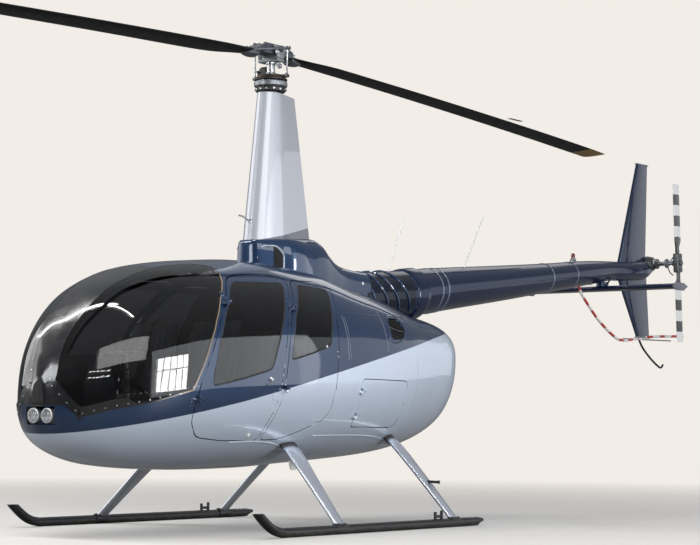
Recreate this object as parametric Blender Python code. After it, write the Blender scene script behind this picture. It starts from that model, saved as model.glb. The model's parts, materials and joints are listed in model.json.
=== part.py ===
"""A light five-place turbine helicopter with a two-blade teetering main rotor, parked on its skids.

Lengths are metres. Points are measured from the foot of the mast axis: x to the aircraft's left,
y aft, z up. The empty called datum carries them to the shared origin, under the middle of the object.
"""

import math

import bmesh
import bpy
import numpy as np
from mathutils import Matrix, Vector

for leftover in list(bpy.data.objects):
    bpy.data.objects.remove(leftover, do_unlink=True)

# Driving dimensions.
MAST_AHEAD = 0.67  # the mast axis stands this far ahead of the object's middle
ROTOR_RADIUS = 5.03
BLADE_CHORD = 0.254
TEETER_Z = 3.41
TEETER_REST = math.radians(0.96)  # the forward blade rests this much low
ROTOR_REST = math.radians(2.0)  # the blades rest turned this far from fore and aft
TAIL_ROTOR = (0.314, 5.869, 2.274)
TAIL_RADIUS = 0.745
TAIL_REST = math.radians(3.8)
HALF_TREAD = 1.065
SKID_RADIUS = 0.031
SKIN = 0.024
DOOR = 0.028
DOOR_SKIN = 0.008  # the doors' outer skin, which a thicker inner pan stiffens
PAN_INSET = 0.022  # the pan stops this far inside the skin's edge, so that the door swings clear
GLASS = 0.006
FIT = 0.0003
DOOR_GAP = 0.006
FLOOR_Z = 0.62
CABIN_END = -0.17
LAMP_Y = -2.235  # the back wall of the landing lights' recess
LAMP_HALF, LAMP_LOW, LAMP_HIGH = 0.120, 0.700, 0.812  # the recess across and in height
FAIRING_Z = (2.036, 3.09)
CROWN_SLOPE = 0.081  # the mast cowl's flat top climbs this much per metre aft

# The pod's sections: above and below its widest line each is a superellipse.
POD_UPPER, POD_LOWER = 2.507, 2.118
POD = (  # y, bottom z, top z, half width, z of the widest line
    (-2.308, 0.728, 0.974, 0.048, 0.801),
    (-2.248, 0.608, 1.163, 0.208, 0.808),
    (-2.108, 0.518, 1.381, 0.369, 0.842),
    (-1.800, 0.444, 1.625, 0.551, 0.899),
    (-1.400, 0.416, 1.759, 0.672, 0.967),
    (-1.000, 0.407, 1.814, 0.722, 0.998),
    (-0.500, 0.413, 1.848, 0.733, 1.024),
    (0.000, 0.439, 1.828, 0.727, 1.038),
    (0.500, 0.465, 1.753, 0.700, 1.064),
    (0.900, 0.491, 1.680, 0.655, 1.112),
    (1.300, 0.536, 1.591, 0.572, 1.166),
    (1.752, 0.653, 1.527, 0.456, 1.217),
    (2.002, 0.820, 1.437, 0.262, 1.237),
    (2.102, 0.949, 1.337, 0.087, 1.237),
)
POD_STATIONS = (-2.308, -2.292, -2.26, -2.205, -2.12, -2.0, -1.84, -1.64, -1.38, -1.08, -0.72, -0.33, 0.06,
                0.45, 0.8, 1.1, 1.4, 1.65, 1.86, 2.01, 2.102)
POD_SIDES = 36

# Outlines in side view, as (y, z).
BELT = ((-2.6, 0.93), (-1.60, 0.93), (-1.575, 0.88), (-1.40, 0.88), (-0.30, 1.04), (0.02, 1.11),
        (1.45, 1.39), (2.3, 1.56))
WINDSHIELD = ((-2.6, 0.745), (-2.211, 0.745), (-2.066, 0.795), (-1.816, 0.846), (-1.561, 0.921),
              (-1.478, 1.084), (-1.414, 1.228), (-1.335, 1.376), (-1.247, 1.511), (-1.136, 1.637),
              (-1.066, 1.719), (-1.062, 2.0), (-2.6, 2.0))
WINDSHIELD_INNER = ((-2.6, 0.06), (-2.29, 0.062), (-2.175, 0.10), (-2.066, 0.125), (-1.931, 0.15),
                    (-1.734, 0.175), (-1.466, 0.198), (-1.184, 0.255), (-1.10, 0.31), (-1.0, 0.42))
FRONT_DOOR = ((-1.085, 1.672), (-1.212, 1.516), (-1.311, 1.377), (-1.389, 1.228), (-1.457, 1.086),
              (-1.512, 0.958), (-1.54, 0.85), (-1.545, 0.73), (-1.44, 0.625), (-1.20, 0.605),
              (-0.842, 0.600), (-0.832, 0.72), (-0.795, 0.86), (-0.758, 1.047), (-0.725, 1.207),
              (-0.668, 1.376), (-0.591, 1.515), (-0.455, 1.700), (-0.60, 1.722), (-0.91, 1.708))
REAR_DOOR = ((-0.427, 1.700), (-0.563, 1.515), (-0.640, 1.376), (-0.697, 1.207), (-0.730, 1.047),
             (-0.767, 0.86), (-0.804, 0.72), (-0.812, 0.606), (-0.62, 0.614), (-0.424, 0.672),
             (-0.23, 0.742), (-0.185, 0.80), (-0.164, 0.958), (-0.139, 1.15), (-0.095, 1.415),
             (-0.012, 1.60), (0.03, 1.668), (-0.136, 1.706))
FRONT_WINDOW = ((-1.040, 1.650), (-1.116, 1.592), (-1.259, 1.408), (-1.349, 1.231), (-1.408, 1.029),
                (-1.415, 0.950), (-1.141, 1.007), (-0.868, 1.073), (-0.801, 1.222), (-0.721, 1.374),
                (-0.621, 1.545), (-0.54, 1.668))
REAR_WINDOW = ((-0.38, 1.668), (-0.563, 1.441), (-0.641, 1.257), (-0.679, 1.136), (-0.443, 1.19),
               (-0.216, 1.251), (-0.161, 1.400), (-0.107, 1.527), (-0.035, 1.655))
BAGGAGE_DOOR = ((0.15, 0.70), (0.80, 0.70), (0.80, 1.04), (0.15, 1.04))
INTAKE = ((0.60, 1.325), (0.80, 1.345), (0.84, 1.40), (0.80, 1.49), (0.62, 1.485))

# Doors: outline, corner radius, window, lower and upper hinge points on the skin, pin stand-off, sides.
DOORS = {
    "front_door": (FRONT_DOOR, 0.06, FRONT_WINDOW, (-1.544, 0.842), (-1.208, 1.52), 0.036, "both"),
    "rear_door": (REAR_DOOR, 0.06, REAR_WINDOW, (-0.752, 0.92), (-0.563, 1.515), 0.030, "both"),
    "baggage_door": (BAGGAGE_DOOR, 0.05, None, (0.150, 0.76), (0.150, 0.98), 0.020, "left"),
}

PAINTS = {  # name: colour, roughness, metallic
    "silver_blue": ((0.42, 0.49, 0.60), 0.25, 0.35),
    "dark_blue": ((0.018, 0.035, 0.10), 0.22, 0.3),
    "black": ((0.012, 0.012, 0.013), 0.45, 0.0),
    "smoked_glass": ((0.03, 0.03, 0.03), 0.05, 0.0),
    "steel": ((0.55, 0.56, 0.57), 0.35, 0.9),
    "dark_metal": ((0.10, 0.105, 0.11), 0.4, 0.8),
    "leather": ((0.035, 0.033, 0.032), 0.6, 0.0),
    "white": ((0.8, 0.8, 0.8), 0.35, 0.0),
    "cabin_grey": ((0.12, 0.12, 0.12), 0.7, 0.0),
}


def paint(name):
    if name in bpy.data.materials:
        return bpy.data.materials[name]
    colour, rough, metal = PAINTS[name]
    material = bpy.data.materials.new(name)
    material.use_nodes = True
    shader = material.node_tree.nodes["Principled BSDF"]
    shader.inputs["Base Color"].default_value = (*colour, 1)
    shader.inputs["Roughness"].default_value = rough
    shader.inputs["Metallic"].default_value = metal
    return material


craft = bpy.data.collections.new("light_helicopter")
tools = bpy.data.collections.new("cutters")
for collection in (craft, tools):
    bpy.context.scene.collection.children.link(collection)


def empty(name, place=(0, 0, 0), parent=None, turn=(0, 0, 0)):
    holder = bpy.data.objects.new(name, None)
    holder.empty_display_size = 0.1
    holder.location, holder.rotation_euler, holder.parent = place, turn, parent
    craft.objects.link(holder)
    return holder


datum = empty("datum", (0, -MAST_AHEAD, 0))


def place(bm, name, look=None, carrier=None):
    """Makes an object from a mesh given in mast coordinates. With no look it is a hidden cutter."""
    bmesh.ops.recalc_face_normals(bm, faces=bm.faces)
    bmesh.ops.triangulate(bm, faces=bm.faces)  # a loft's quads aren't flat, and a Boolean needs flat faces
    if carrier:
        bmesh.ops.translate(bm, vec=-carrier.location, verts=bm.verts)
    mesh = bpy.data.meshes.new(name)
    bm.to_mesh(mesh)
    bm.free()
    obj = bpy.data.objects.new(name, mesh)
    obj.parent = carrier or datum
    if look:
        craft.objects.link(obj)
        mesh.materials.append(paint(look))
    else:
        tools.objects.link(obj)
        obj.hide_render, obj.display_type = True, "WIRE"
    return obj


def boolean(obj, tool, how="DIFFERENCE"):
    modifier = obj.modifiers.new(f"{how.lower()} {tool.name}", "BOOLEAN")
    modifier.operation, modifier.solver, modifier.object = how, "EXACT", tool
    return obj


def weld(*objects):
    """Closes the hair cracks that a long row of Booleans can leave."""
    for obj in objects:
        modifier = obj.modifiers.new("weld", "WELD")
        modifier.merge_threshold = 0.00002


def loft(rings, bm=None):
    """Skins a row of equal rings and closes both ends."""
    bm = bm or bmesh.new()
    loops = [[bm.verts.new(p) for p in ring] for ring in rings]
    for one, two in zip(loops, loops[1:]):
        for k in range(len(one)):
            bm.faces.new((one[k - 1], one[k], two[k], two[k - 1]))
    bm.faces.new(loops[0][::-1])
    bm.faces.new(loops[-1])
    return bm


def prism(outline, across, low, high, bm=None):
    """Extrudes an outline along an axis. The outline holds the other two coordinates, in x, y, z order."""
    lift = {"X": lambda a, b, c: (c, a, b), "Y": lambda a, b, c: (a, c, b), "Z": lambda a, b, c: (a, b, c)}
    return loft([[lift[across](a, b, c) for a, b in outline] for c in (low, high)], bm)


def block(x, y, z, bevel=0.0, bm=None):
    """A box between pairs of limits, with its edges bevelled."""
    fresh = bmesh.new()
    prism(((x[0], y[0]), (x[1], y[0]), (x[1], y[1]), (x[0], y[1])), "Z", z[0], z[1], fresh)
    if bevel:
        bmesh.ops.bevel(fresh, geom=fresh.edges[:], offset=bevel, segments=1, affect="EDGES")
    return merged(bm, fresh)


def merged(bm, fresh):
    if bm is None:
        return fresh
    mesh = bpy.data.meshes.new("part")
    fresh.to_mesh(mesh)
    fresh.free()
    bm.from_mesh(mesh)
    bpy.data.meshes.remove(mesh)
    return bm


def turned(profile, centre, axis="Z", sides=20, bm=None):
    """Turns a profile of (radius, height) pairs about an axis through a centre."""
    fresh = loft([[(r * math.cos(2 * math.pi * k / sides), r * math.sin(2 * math.pi * k / sides), h)
                   for k in range(sides)] for r, h in profile])
    turn = {"Z": Matrix(), "X": Matrix.Rotation(math.pi / 2, 4, "Y"), "Y": Matrix.Rotation(-math.pi / 2, 4, "X")}
    bmesh.ops.transform(fresh, matrix=Matrix.Translation(centre) @ turn[axis], verts=fresh.verts)
    return merged(bm, fresh)


def tube(points, radius, sides=8, grow=0.0, steps=3):
    """A bevelled Bezier curve through the points, made into one welded mesh."""
    data = bpy.data.curves.new("tube", "CURVE")
    data.dimensions, data.bevel_depth, data.bevel_resolution = "3D", 1.0, (sides - 4) // 2
    data.use_fill_caps, data.resolution_u = True, steps
    spline = data.splines.new("BEZIER")
    spline.bezier_points.add(len(points) - 1)
    for knot, point in zip(spline.bezier_points, points):
        knot.co = point[:3]
        knot.radius = (point[3] if len(point) > 3 else radius) + grow
        knot.handle_left_type = knot.handle_right_type = "AUTO"
    guide = bpy.data.objects.new("tube", data)
    tools.objects.link(guide)
    bpy.context.view_layer.update()
    mesh = bpy.data.meshes.new_from_object(guide.evaluated_get(bpy.context.evaluated_depsgraph_get()))
    bm = bmesh.new()
    bm.from_mesh(mesh)
    bmesh.ops.remove_doubles(bm, verts=bm.verts, dist=1e-5)
    bpy.data.objects.remove(guide, do_unlink=True)
    bpy.data.meshes.remove(mesh)
    return bm


def rounded(corners, radius, steps=4):
    """Rounds the corners of an outline that turn by more than about 25 degrees."""
    out = []
    count = len(corners)
    for k, here in enumerate(corners):
        here = Vector(here)
        back, ahead = Vector(corners[k - 1]) - here, Vector(corners[(k + 1) % count]) - here
        if back.angle(ahead) > math.radians(155):
            out.append(tuple(here))
            continue
        reach = min(radius, 0.42 * back.length, 0.42 * ahead.length)
        start, end = here + back.normalized() * reach, here + ahead.normalized() * reach
        for step in range(steps + 1):
            t = step / steps
            out.append(tuple(start * (1 - t) ** 2 + here * 2 * t * (1 - t) + end * t * t))
    return out


def shrunk(outline, gap):
    """Moves every side of a closed outline inwards."""
    points = [Vector(p) for p in outline]
    area = sum(a.x * b.y - b.x * a.y for a, b in zip(points, points[1:] + points[:1]))
    turn = 1 if area > 0 else -1
    out = []
    for k, here in enumerate(points):
        one = (here - points[k - 1]).normalized()
        two = (points[(k + 1) % len(points)] - here).normalized()
        one, two = (Vector((-v.y, v.x)) * turn for v in (one, two))
        out.append(tuple(here + (one + two) * (gap / (1 + one.dot(two)))))
    return out


def monotone(xs, ys):
    """A monotone cubic through the points, so that a section table never overshoots."""
    xs, ys = np.asarray(xs, float), np.asarray(ys, float)
    h, d = np.diff(xs), np.diff(ys) / np.diff(xs)
    m = np.zeros(len(xs))
    for k in range(1, len(xs) - 1):
        if d[k - 1] * d[k] > 0:
            w1, w2 = 2 * h[k] + h[k - 1], h[k] + 2 * h[k - 1]
            m[k] = (w1 + w2) / (w1 / d[k - 1] + w2 / d[k])
    for end, h0, h1, d0, d1 in ((0, h[0], h[1], d[0], d[1]), (-1, h[-1], h[-2], d[-1], d[-2])):
        slope = ((2 * h0 + h1) * d0 - h0 * d1) / (h0 + h1)
        m[end] = 0 if slope * d0 <= 0 else slope
        if d0 * d1 <= 0 and abs(slope) > 3 * abs(d0):
            m[end] = 3 * d0

    def value(x):
        k = int(min(max(np.searchsorted(xs, x) - 1, 0), len(h) - 1))
        t = (x - xs[k]) / h[k]
        return float(ys[k] * (1 + 2 * t) * (1 - t) ** 2 + ys[k + 1] * t * t * (3 - 2 * t)
                     + h[k] * (m[k] * t * (1 - t) ** 2 - m[k + 1] * t * t * (1 - t)))

    return value


POD_CURVES = [monotone([row[0] for row in POD], [row[c] for row in POD]) for c in range(1, 5)]


def signed_power(value, power):
    return math.copysign(abs(value) ** power, value)


def pod_half_width(y, z):
    """Half the pod's width at a point of its side view."""
    low, high, half, widest = (curve(y) for curve in POD_CURVES)
    power, reach = (POD_UPPER, high - widest) if z > widest else (POD_LOWER, widest - low)
    return half * max(0.0, 1 - abs((z - widest) / reach) ** power) ** (1 / power)


def pod_ring(y, sides=POD_SIDES):
    low, high, half, widest = (curve(y) for curve in POD_CURVES)
    ring = []
    for k in range(sides):
        c, s = math.cos(2 * math.pi * k / sides), math.sin(2 * math.pi * k / sides)
        power, reach = (POD_UPPER, high - widest) if s > 0 else (POD_LOWER, widest - low)
        ring.append((half * signed_power(c, 2 / power), y, widest + reach * signed_power(s, 2 / power)))
    return ring


def pod_bmesh(inset=0.0):
    bm = loft([pod_ring(y) for y in POD_STATIONS])
    bmesh.ops.recalc_face_normals(bm, faces=bm.faces)
    bm.normal_update()
    moves = [(v, v.normal.copy()) for v in bm.verts]
    for v, normal in moves:
        v.co -= normal * inset
    return bm


inner = {inset: place(pod_bmesh(inset), f"pod in {inset * 1000:g}")
         for inset in (GLASS, DOOR_SKIN, 0.010, 0.022, SKIN, DOOR, 0.034, 0.062)}
grown_pod = place(pod_bmesh(-0.0006), "pod grown")


def skin_panel(name, look, inset, keep, carrier=None):
    """The pod's skin of one thickness, kept inside the given tools."""
    obj = place(pod_bmesh(), name, look, carrier)
    boolean(obj, inner[inset])
    for tool in keep:
        boolean(obj, tool, "INTERSECT")
    return obj


# The regions that split the pod into its real panels.
below_belt = place(prism([(y, z - FIT) for y, z in BELT] + [(2.3, 0.1), (-2.6, 0.1)], "X", -1, 1), "below belt")
above_belt = place(prism(list(BELT) + [(2.3, 2.2), (-2.6, 2.2)], "X", -1, 1), "above belt")
post_above = place(prism([(y, z + 0.002) for y, z in BELT] + [(2.3, 2.2), (-2.6, 2.2)], "X", -1, 1), "post above")
post_below = place(prism([(y, z - 0.002) for y, z in BELT] + [(2.3, 0.1), (-2.6, 0.1)], "X", -1, 1), "post below")
bow_zone = place(block((-0.21, 0.21), (-2.6, -1.466), (0.82, 2.0)), "bow zone")
bow_clear = place(block((-0.21 - FIT, 0.21 + FIT), (-2.6, -1.466 + FIT), (0.82 - FIT, 2.0)), "bow clearance")
cabin_space = place(block((-1, 1), (LAMP_Y + 0.03, CABIN_END), (FLOOR_Z, 2.0)), "cabin space")
boolean(cabin_space, inner[SKIN], "INTERSECT")
upper_bay = place(block((-1, 1), (-0.13, 1.93), (1.12, 2.0)), "upper bay")
boolean(upper_bay, inner[0.022], "INTERSECT")
engine_space = place(block((-0.5, 0.5), (0.95, 1.93), (0.70, 1.3)), "engine space")
boolean(engine_space, inner[0.022], "INTERSECT")
baggage_space = place(block((-0.40, 1), (0.11, 0.84), (0.665, 1.075)), "baggage space")
boolean(baggage_space, inner[0.022], "INTERSECT")
mast_hole = place(turned([(0.0555 + FIT, 1.0), (0.0555 + FIT, 3.3)], (0, 0, 0)), "mast hole")

SIDES = (("left", 1), ("right", -1))


def side_prism(outline, side, low=0.2, high=1.2):
    return prism(outline, "X", *sorted((side * low, side * high)))


def windshield_zone(name, side, gap):
    """Where the glass of one side lies: its side view, its inner edge in plan, its lower inner corner."""
    zone = place(side_prism(shrunk(WINDSHIELD, gap), side, 0.0), name)
    plan = [((x + gap) * side, y) for y, x in WINDSHIELD_INNER] + [(1.2 * side, -1.0), (1.2 * side, -2.6)]
    boolean(zone, place(prism(plan, "Z", 0.5, 2.2), name + " plan"), "INTERSECT")
    front = ((0.0, 1.02 + gap), (0.254, 0.745 + gap), (0.32, 0.6), (1.2, 0.6), (1.2, 2.2), (0.0, 2.2))
    front = [(x * side, z) for x, z in front]
    return boolean(zone, place(prism(front, "Y", -2.7, -0.9), name + " front"), "INTERSECT")


openings = {}
for label, side in SIDES:
    openings["windshield", side] = windshield_zone(f"windshield opening {label}", side, 0.0)
    for door, (outline, radius, *_, sides) in DOORS.items():
        if sides == "both" or sides == label:
            opening = place(side_prism(rounded(outline, radius), side), f"{door} opening {label}")
            openings[door, side] = boolean(opening, inner[0.034])

# The crossing tubes that carry the skids: each half is a row of stations from the foot to the middle.
CROSS_TUBES = {
    "front_cross_tube": (  # x, y, z, chord, thickness
        (1.065, -0.568, 0.045, 0.076, 0.040), (0.825, -0.511, 0.29, 0.092, 0.043),
        (0.600, -0.456, 0.515, 0.108, 0.046), (0.545, -0.445, 0.550, 0.080, 0.048),
        (0.480, -0.440, 0.563, 0.056, 0.050), (0.250, -0.440, 0.568, 0.054, 0.050)),
    "rear_cross_tube": (
        (1.065, 0.810, 0.045, 0.076, 0.040), (0.790, 0.838, 0.32, 0.092, 0.043),
        (0.520, 0.864, 0.575, 0.104, 0.046), (0.460, 0.868, 0.598, 0.080, 0.048),
        (0.400, 0.870, 0.608, 0.056, 0.050), (0.200, 0.870, 0.610, 0.054, 0.050)),
}


def cross_tube(stations, grow=0.0, sides=12):
    half = [Vector(s[:3]) for s in stations]
    path = half + [Vector((-p.x, p.y, p.z)) for p in reversed(half)]
    sizes = [s[3:] for s in stations] + [s[3:] for s in reversed(stations)]
    rings = []
    for k, (centre, (chord, thick)) in enumerate(zip(path, sizes)):
        run = path[min(k + 1, len(path) - 1)] - path[max(k - 1, 0)]
        across = Vector((run.z, 0, -run.x)).normalized()
        rings.append([centre + Vector((0, 1, 0)) * (chord / 2 + grow) * math.cos(a)
                      + across * (thick / 2 + grow) * math.sin(a)
                      for a in (2 * math.pi * i / sides for i in range(sides))])
    return loft(rings)


tunnels = [place(cross_tube(rows, FIT), name + " tunnel") for name, rows in CROSS_TUBES.items()]

# Cabin, doors and glass.
EXHAUST = (Vector((0, 1.77, 0.955)), Vector((0, 2.10, 0.705)))
exhaust_run = (EXHAUST[1] - EXHAUST[0]).normalized()
exhaust_turn = exhaust_run.to_track_quat("Z", "Y").to_matrix().to_4x4()


def exhaust_part(profile):
    bm = turned(profile, (0, 0, 0))
    bmesh.ops.transform(bm, matrix=Matrix.Translation(EXHAUST[0]) @ exhaust_turn, verts=bm.verts)
    return bm


exhaust_hole = place(exhaust_part([(0.09 + FIT, -0.05), (0.09 + FIT, 0.6)]), "exhaust hole")
exhaust_length = (EXHAUST[1] - EXHAUST[0]).length
exhaust = place(exhaust_part([(0.09, 0.0), (0.09, exhaust_length)]), "exhaust_pipe", "dark_metal")
boolean(exhaust, place(exhaust_part([(0.082, 0.03), (0.082, 0.6)]), "exhaust bore"))

lower_fuselage = place(pod_bmesh(), "lower_fuselage", "silver_blue")
boolean(lower_fuselage, below_belt, "INTERSECT")
lamp_recess = place(block((-LAMP_HALF, LAMP_HALF), (-2.6, LAMP_Y), (LAMP_LOW, LAMP_HIGH)), "lamp recess")
for tool in (cabin_space, upper_bay, engine_space, baggage_space, bow_clear, lamp_recess, exhaust_hole,
             *tunnels, *openings.values()):
    boolean(lower_fuselage, tool)

cabin_frame = place(pod_bmesh(), "cabin_frame", "dark_blue")
frame_zone = place(block((-1, 1), (-1.7, 0.0197), (0.8, 2.0)), "frame zone")
for tool in (above_belt, frame_zone):
    boolean(cabin_frame, tool, "INTERSECT")
for tool in (cabin_space, upper_bay, bow_clear, mast_hole, *openings.values()):
    boolean(cabin_frame, tool)
POST = ((-0.451, 1.70), (-0.587, 1.515), (-0.664, 1.376), (-0.721, 1.207), (-0.754, 1.047), (-0.791, 0.86),
        (-0.828, 0.72), (-0.828, FLOOR_Z - 0.01), (-0.814, FLOOR_Z - 0.01), (-0.808, 0.72), (-0.771, 0.86),
        (-0.734, 1.047), (-0.701, 1.207), (-0.644, 1.376), (-0.567, 1.515), (-0.431, 1.70), (-0.40, 1.78),
        (-0.50, 1.78))
for label, side in SIDES:
    outline = place(side_prism(POST, side), f"door post outline {label}")
    for body, region in ((cabin_frame, post_above), (lower_fuselage, post_below)):
        post = place(pod_bmesh(0.010), f"door post {label} {region.name}")
        for tool in (outline, region):
            boolean(post, tool, "INTERSECT")
        boolean(post, inner[0.062])
        boolean(body, post, "UNION")

bow = skin_panel("windshield_bow", "black", 0.022, [bow_zone])
for label, side in SIDES:
    boolean(bow, openings["windshield", side])
    glass_zone = windshield_zone(f"windshield zone {label}", side, 0.0004)
    skin_panel(f"windshield_{label}", "smoked_glass", GLASS, [glass_zone])


def hinge_frame(lower, upper, stand_off, side):
    """The pin's lower end, its length, and its axes: along the pin, aft along the skin, out of the skin."""
    ends = [Vector((pod_half_width(y, z), y, z)) for y, z in (lower, upper)]
    run = (ends[1] - ends[0]).normalized()
    out = Vector((0, -1, 0)).cross(run)
    out = (out if out.x > 0 else -out).normalized()
    aft = out.cross(run) if out.cross(run).y > 0 else run.cross(out)
    start = ends[0] + out * stand_off
    flip = [Vector((v.x * side, v.y, v.z)) for v in (start, run, aft, out)]
    return flip[0], (ends[1] - ends[0]).length, flip[1:]


def hinge_half(start, axes, low, high, away, stand_off):
    """One half of a hinge between two heights on the pin: a barrel, a link and a foot sunk in the skin."""
    basis = Matrix.Translation(start) @ Matrix([(*row, 0) for row in np.array([axes[1], axes[2], axes[0]]).T]
                                               + [(0, 0, 0, 1)])
    shapes = [turned([(0.008, low), (0.008, high)], (0, 0, 0), sides=8)]
    for aft, out, less in (((0.001, 0.014), (-0.0062, 0.0036), 0.001),
                           ((0.0075, 0.024), (-stand_off - 0.012, 0.0052), 0.002)):
        shapes.append(block(tuple(sorted(away * a for a in aft)), out, (low + less, high - less)))
    for bm in shapes:
        bmesh.ops.transform(bm, matrix=basis, verts=bm.verts)
    return shapes


for door, (outline, radius, window, lower, upper, stand_off, sides) in DOORS.items():
    for label, side in SIDES:
        if sides not in ("both", label):
            continue
        name = f"{door}_{label}" if sides == "both" else door
        start, length, axes = hinge_frame(lower, upper, stand_off, side)
        pivot = empty(f"{name}_pivot", start, datum)
        zone = place(side_prism(shrunk(rounded(outline, radius), DOOR_GAP), side), f"{name} zone")
        leaf = skin_panel(name, "dark_blue" if window else "silver_blue", DOOR_SKIN, [zone], pivot)
        pan = place(pod_bmesh(DOOR_SKIN - 0.002), f"{name} pan")
        pan_zone = side_prism(shrunk(rounded(outline, radius), DOOR_GAP + PAN_INSET), side)
        boolean(pan, place(pan_zone, f"{name} pan zone"), "INTERSECT")
        boolean(pan, inner[DOOR if window else 0.022])
        boolean(leaf, pan, "UNION")
        if window:
            frame = rounded(window, 0.045)
            boolean(leaf, place(side_prism(frame, side), f"{name} window cut"))
            pane = place(pod_bmesh(0.004), f"{door}_window_{label}", "smoked_glass", pivot)
            boolean(pane, place(side_prism(shrunk(frame, 0.0004), side), f"{name} pane zone"), "INTERSECT")
            boolean(pane, inner[0.010])
        for which, height in (("lower", 0.0), ("upper", length - 0.05)):
            mount = cabin_frame if which == "upper" and window else lower_fuselage
            for body, away, low, high in ((mount, -1, height, height + 0.0245), (leaf, 1, height + 0.025, height + 0.05)):
                for n, bm in enumerate(hinge_half(start, axes, low, high, away, stand_off)):
                    boolean(body, place(bm, f"{name} {which} {'lug' if away < 0 else 'arm'} {n}"), "UNION")

for name, y_range, look in (("cowl_forward", (0.0203, 0.52), "dark_blue"), ("cowl_aft", (0.5203, 2.3), "dark_blue")):
    cowl = place(pod_bmesh(), name, look)
    for tool in (above_belt, place(block((-1, 1), y_range, (0.9, 2.0)), name + " zone")):
        boolean(cowl, tool, "INTERSECT")
    boolean(cowl, upper_bay)
    boolean(cowl, mast_hole)
intake = place(prism(rounded(INTAKE, 0.05), "X", -0.9, 0.9), "side intakes")
boolean(bpy.data.objects["cowl_aft"], intake)

place(block((-0.20, 0.20), (0.99, 1.56), (0.70 + FIT, 1.28), 0.02), "engine_block", "dark_metal")
gearbox = place(block((-0.16, 0.16), (-0.12, 0.26), (1.12 + FIT, 1.62), 0.02), "gearbox", "dark_metal")
boolean(gearbox, place(turned([(0.055, 1.60), (0.055, 3.12)], (0, 0, 0)), "mast tube"), "UNION")

# Seats and controls.
place(block((-0.50, 0.50), (-1.38, -0.96), (FLOOR_Z + FIT, 0.80), 0.01), "front_seat_box", "cabin_grey")
place(block((-0.50, 0.50), (-0.60, CABIN_END - FIT), (FLOOR_Z + FIT, 0.80), 0.01), "rear_seat_box", "cabin_grey")
SEATS = {  # name: low x, high x, side view
    "front_seat_left": (0.05, 0.49, "front"), "front_seat_right": (-0.49, -0.05, "front"),
    "rear_seat": (-0.56, 0.56, "rear"),
}
SEAT_SHAPES = {
    "front": ((-1.40, 0.80 + FIT), (-0.955, 0.80 + FIT), (-0.84, 1.43), (-0.93, 1.45), (-1.05, 0.93), (-1.38, 0.92)),
    "rear": ((-0.61, 0.80 + FIT), (-0.1735, 0.80 + FIT), (-0.1735, 1.40), (-0.27, 1.40), (-0.31, 0.92), (-0.59, 0.91)),
}
for name, (low, high, shape) in SEATS.items():
    place(prism(rounded(SEAT_SHAPES[shape], 0.03, 3), "X", low, high), name, "leather")
CONSOLE = ((-1.99, FLOOR_Z + FIT), (-1.72, FLOOR_Z + FIT), (-1.735, 0.93), (-1.80, 1.12), (-1.98, 1.15), (-2.05, 0.95))
place(prism(rounded(CONSOLE, 0.03, 2), "X", -0.14, 0.14), "instrument_console", "black")
stick = place(tube([(0, -1.47, FLOOR_Z + FIT), (0, -1.475, 0.9), (0, -1.50, 1.17)], 0.014), "cyclic_stick", "dark_metal")
boolean(stick, place(tube([(-0.24, -1.49, 1.05), (-0.22, -1.50, 1.165), (0, -1.50, 1.18), (0.22, -1.50, 1.165),
                           (0.24, -1.49, 1.05)], 0.013), "cyclic bar"), "UNION")

# Mast cowl, fairing and boom root.
MAST_COWL = (  # y, half width, top z less the sloping crown plane, the arch's power
    (-0.266, 0.050, -0.030, 9.0), (-0.258, 0.076, -0.010, 9.0), (-0.246, 0.092, 0.0, 9.0), (-0.21, 0.117, 0.0, 9.0),
    (-0.15, 0.156, 0.0, 9.0), (-0.08, 0.204, 0.0, 8.0), (0.0, 0.256, 0.0, 7.0), (0.08, 0.272, 0.0, 6.0),
    (0.2, 0.275, 0.0, 5.0), (0.4, 0.25, 0.0, 5.0), (0.50, 0.235, -0.022, 5.0), (0.56, 0.222, -0.095, 5.0),
    (0.68, 0.205, -0.178, 5.0), (0.80, 0.20, -0.214, 5.0), (1.0, 0.195, -0.248, 5.0),
)


def arch_ring(y, half, top, power, base=1.60, steps=14):
    ring = []
    for k in range(steps + 1):
        c, s = math.cos(math.pi * k / steps), math.sin(math.pi * k / steps)
        ring.append((half * signed_power(c, 2 / power), y, base + (top - base) * abs(s) ** (2 / power)))
    return ring


def crown(y):
    return FAIRING_Z[0] + CROWN_SLOPE * y


mast_cowl = place(loft([arch_ring(y, half, crown(y) + drop, power) for y, half, drop, power in MAST_COWL]),
                  "mast_cowl", "dark_blue")
boolean(mast_cowl, grown_pod)
boolean(mast_cowl, mast_hole)


def fairing_ring(z, lead, trail, half, tail, steps=12):
    """A teardrop: an ellipse round the mast, then straight flanks to a blunt trailing edge."""
    nose = [(-half * math.cos(math.pi * k / steps), lead * math.sin(math.pi * k / steps)) for k in range(steps + 1)]
    return [(x, y, z) for x, y in nose + [(tail, trail), (-tail, trail)]]


FAIRING = ((1.98, -0.247, 0.474, 0.143, 0.018), (FAIRING_Z[1], -0.112, 0.266, 0.085, 0.012))
fairing = place(loft([fairing_ring(*row) for row in FAIRING]), "mast_fairing", "silver_blue")
hollow = [(z + lift, lead + 0.008, trail - 0.02, half - 0.008, tail - 0.006)
          for (z, lead, trail, half, tail), lift in zip(FAIRING, (-0.2, 0.2))]
boolean(fairing, place(loft([fairing_ring(*row) for row in hollow]), "fairing hollow"))
plane = [(-1, crown(-1) + FIT), (1, crown(1) + FIT), (1, 1.5), (-1, 1.5)]
boolean(fairing, place(prism(plane, "X", -1, 1), "crown plane"))


def circle_ring(y, z, radius, sides=24):
    return [(radius * math.cos(2 * math.pi * k / sides), y, z + radius * math.sin(2 * math.pi * k / sides))
            for k in range(sides)]


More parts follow.
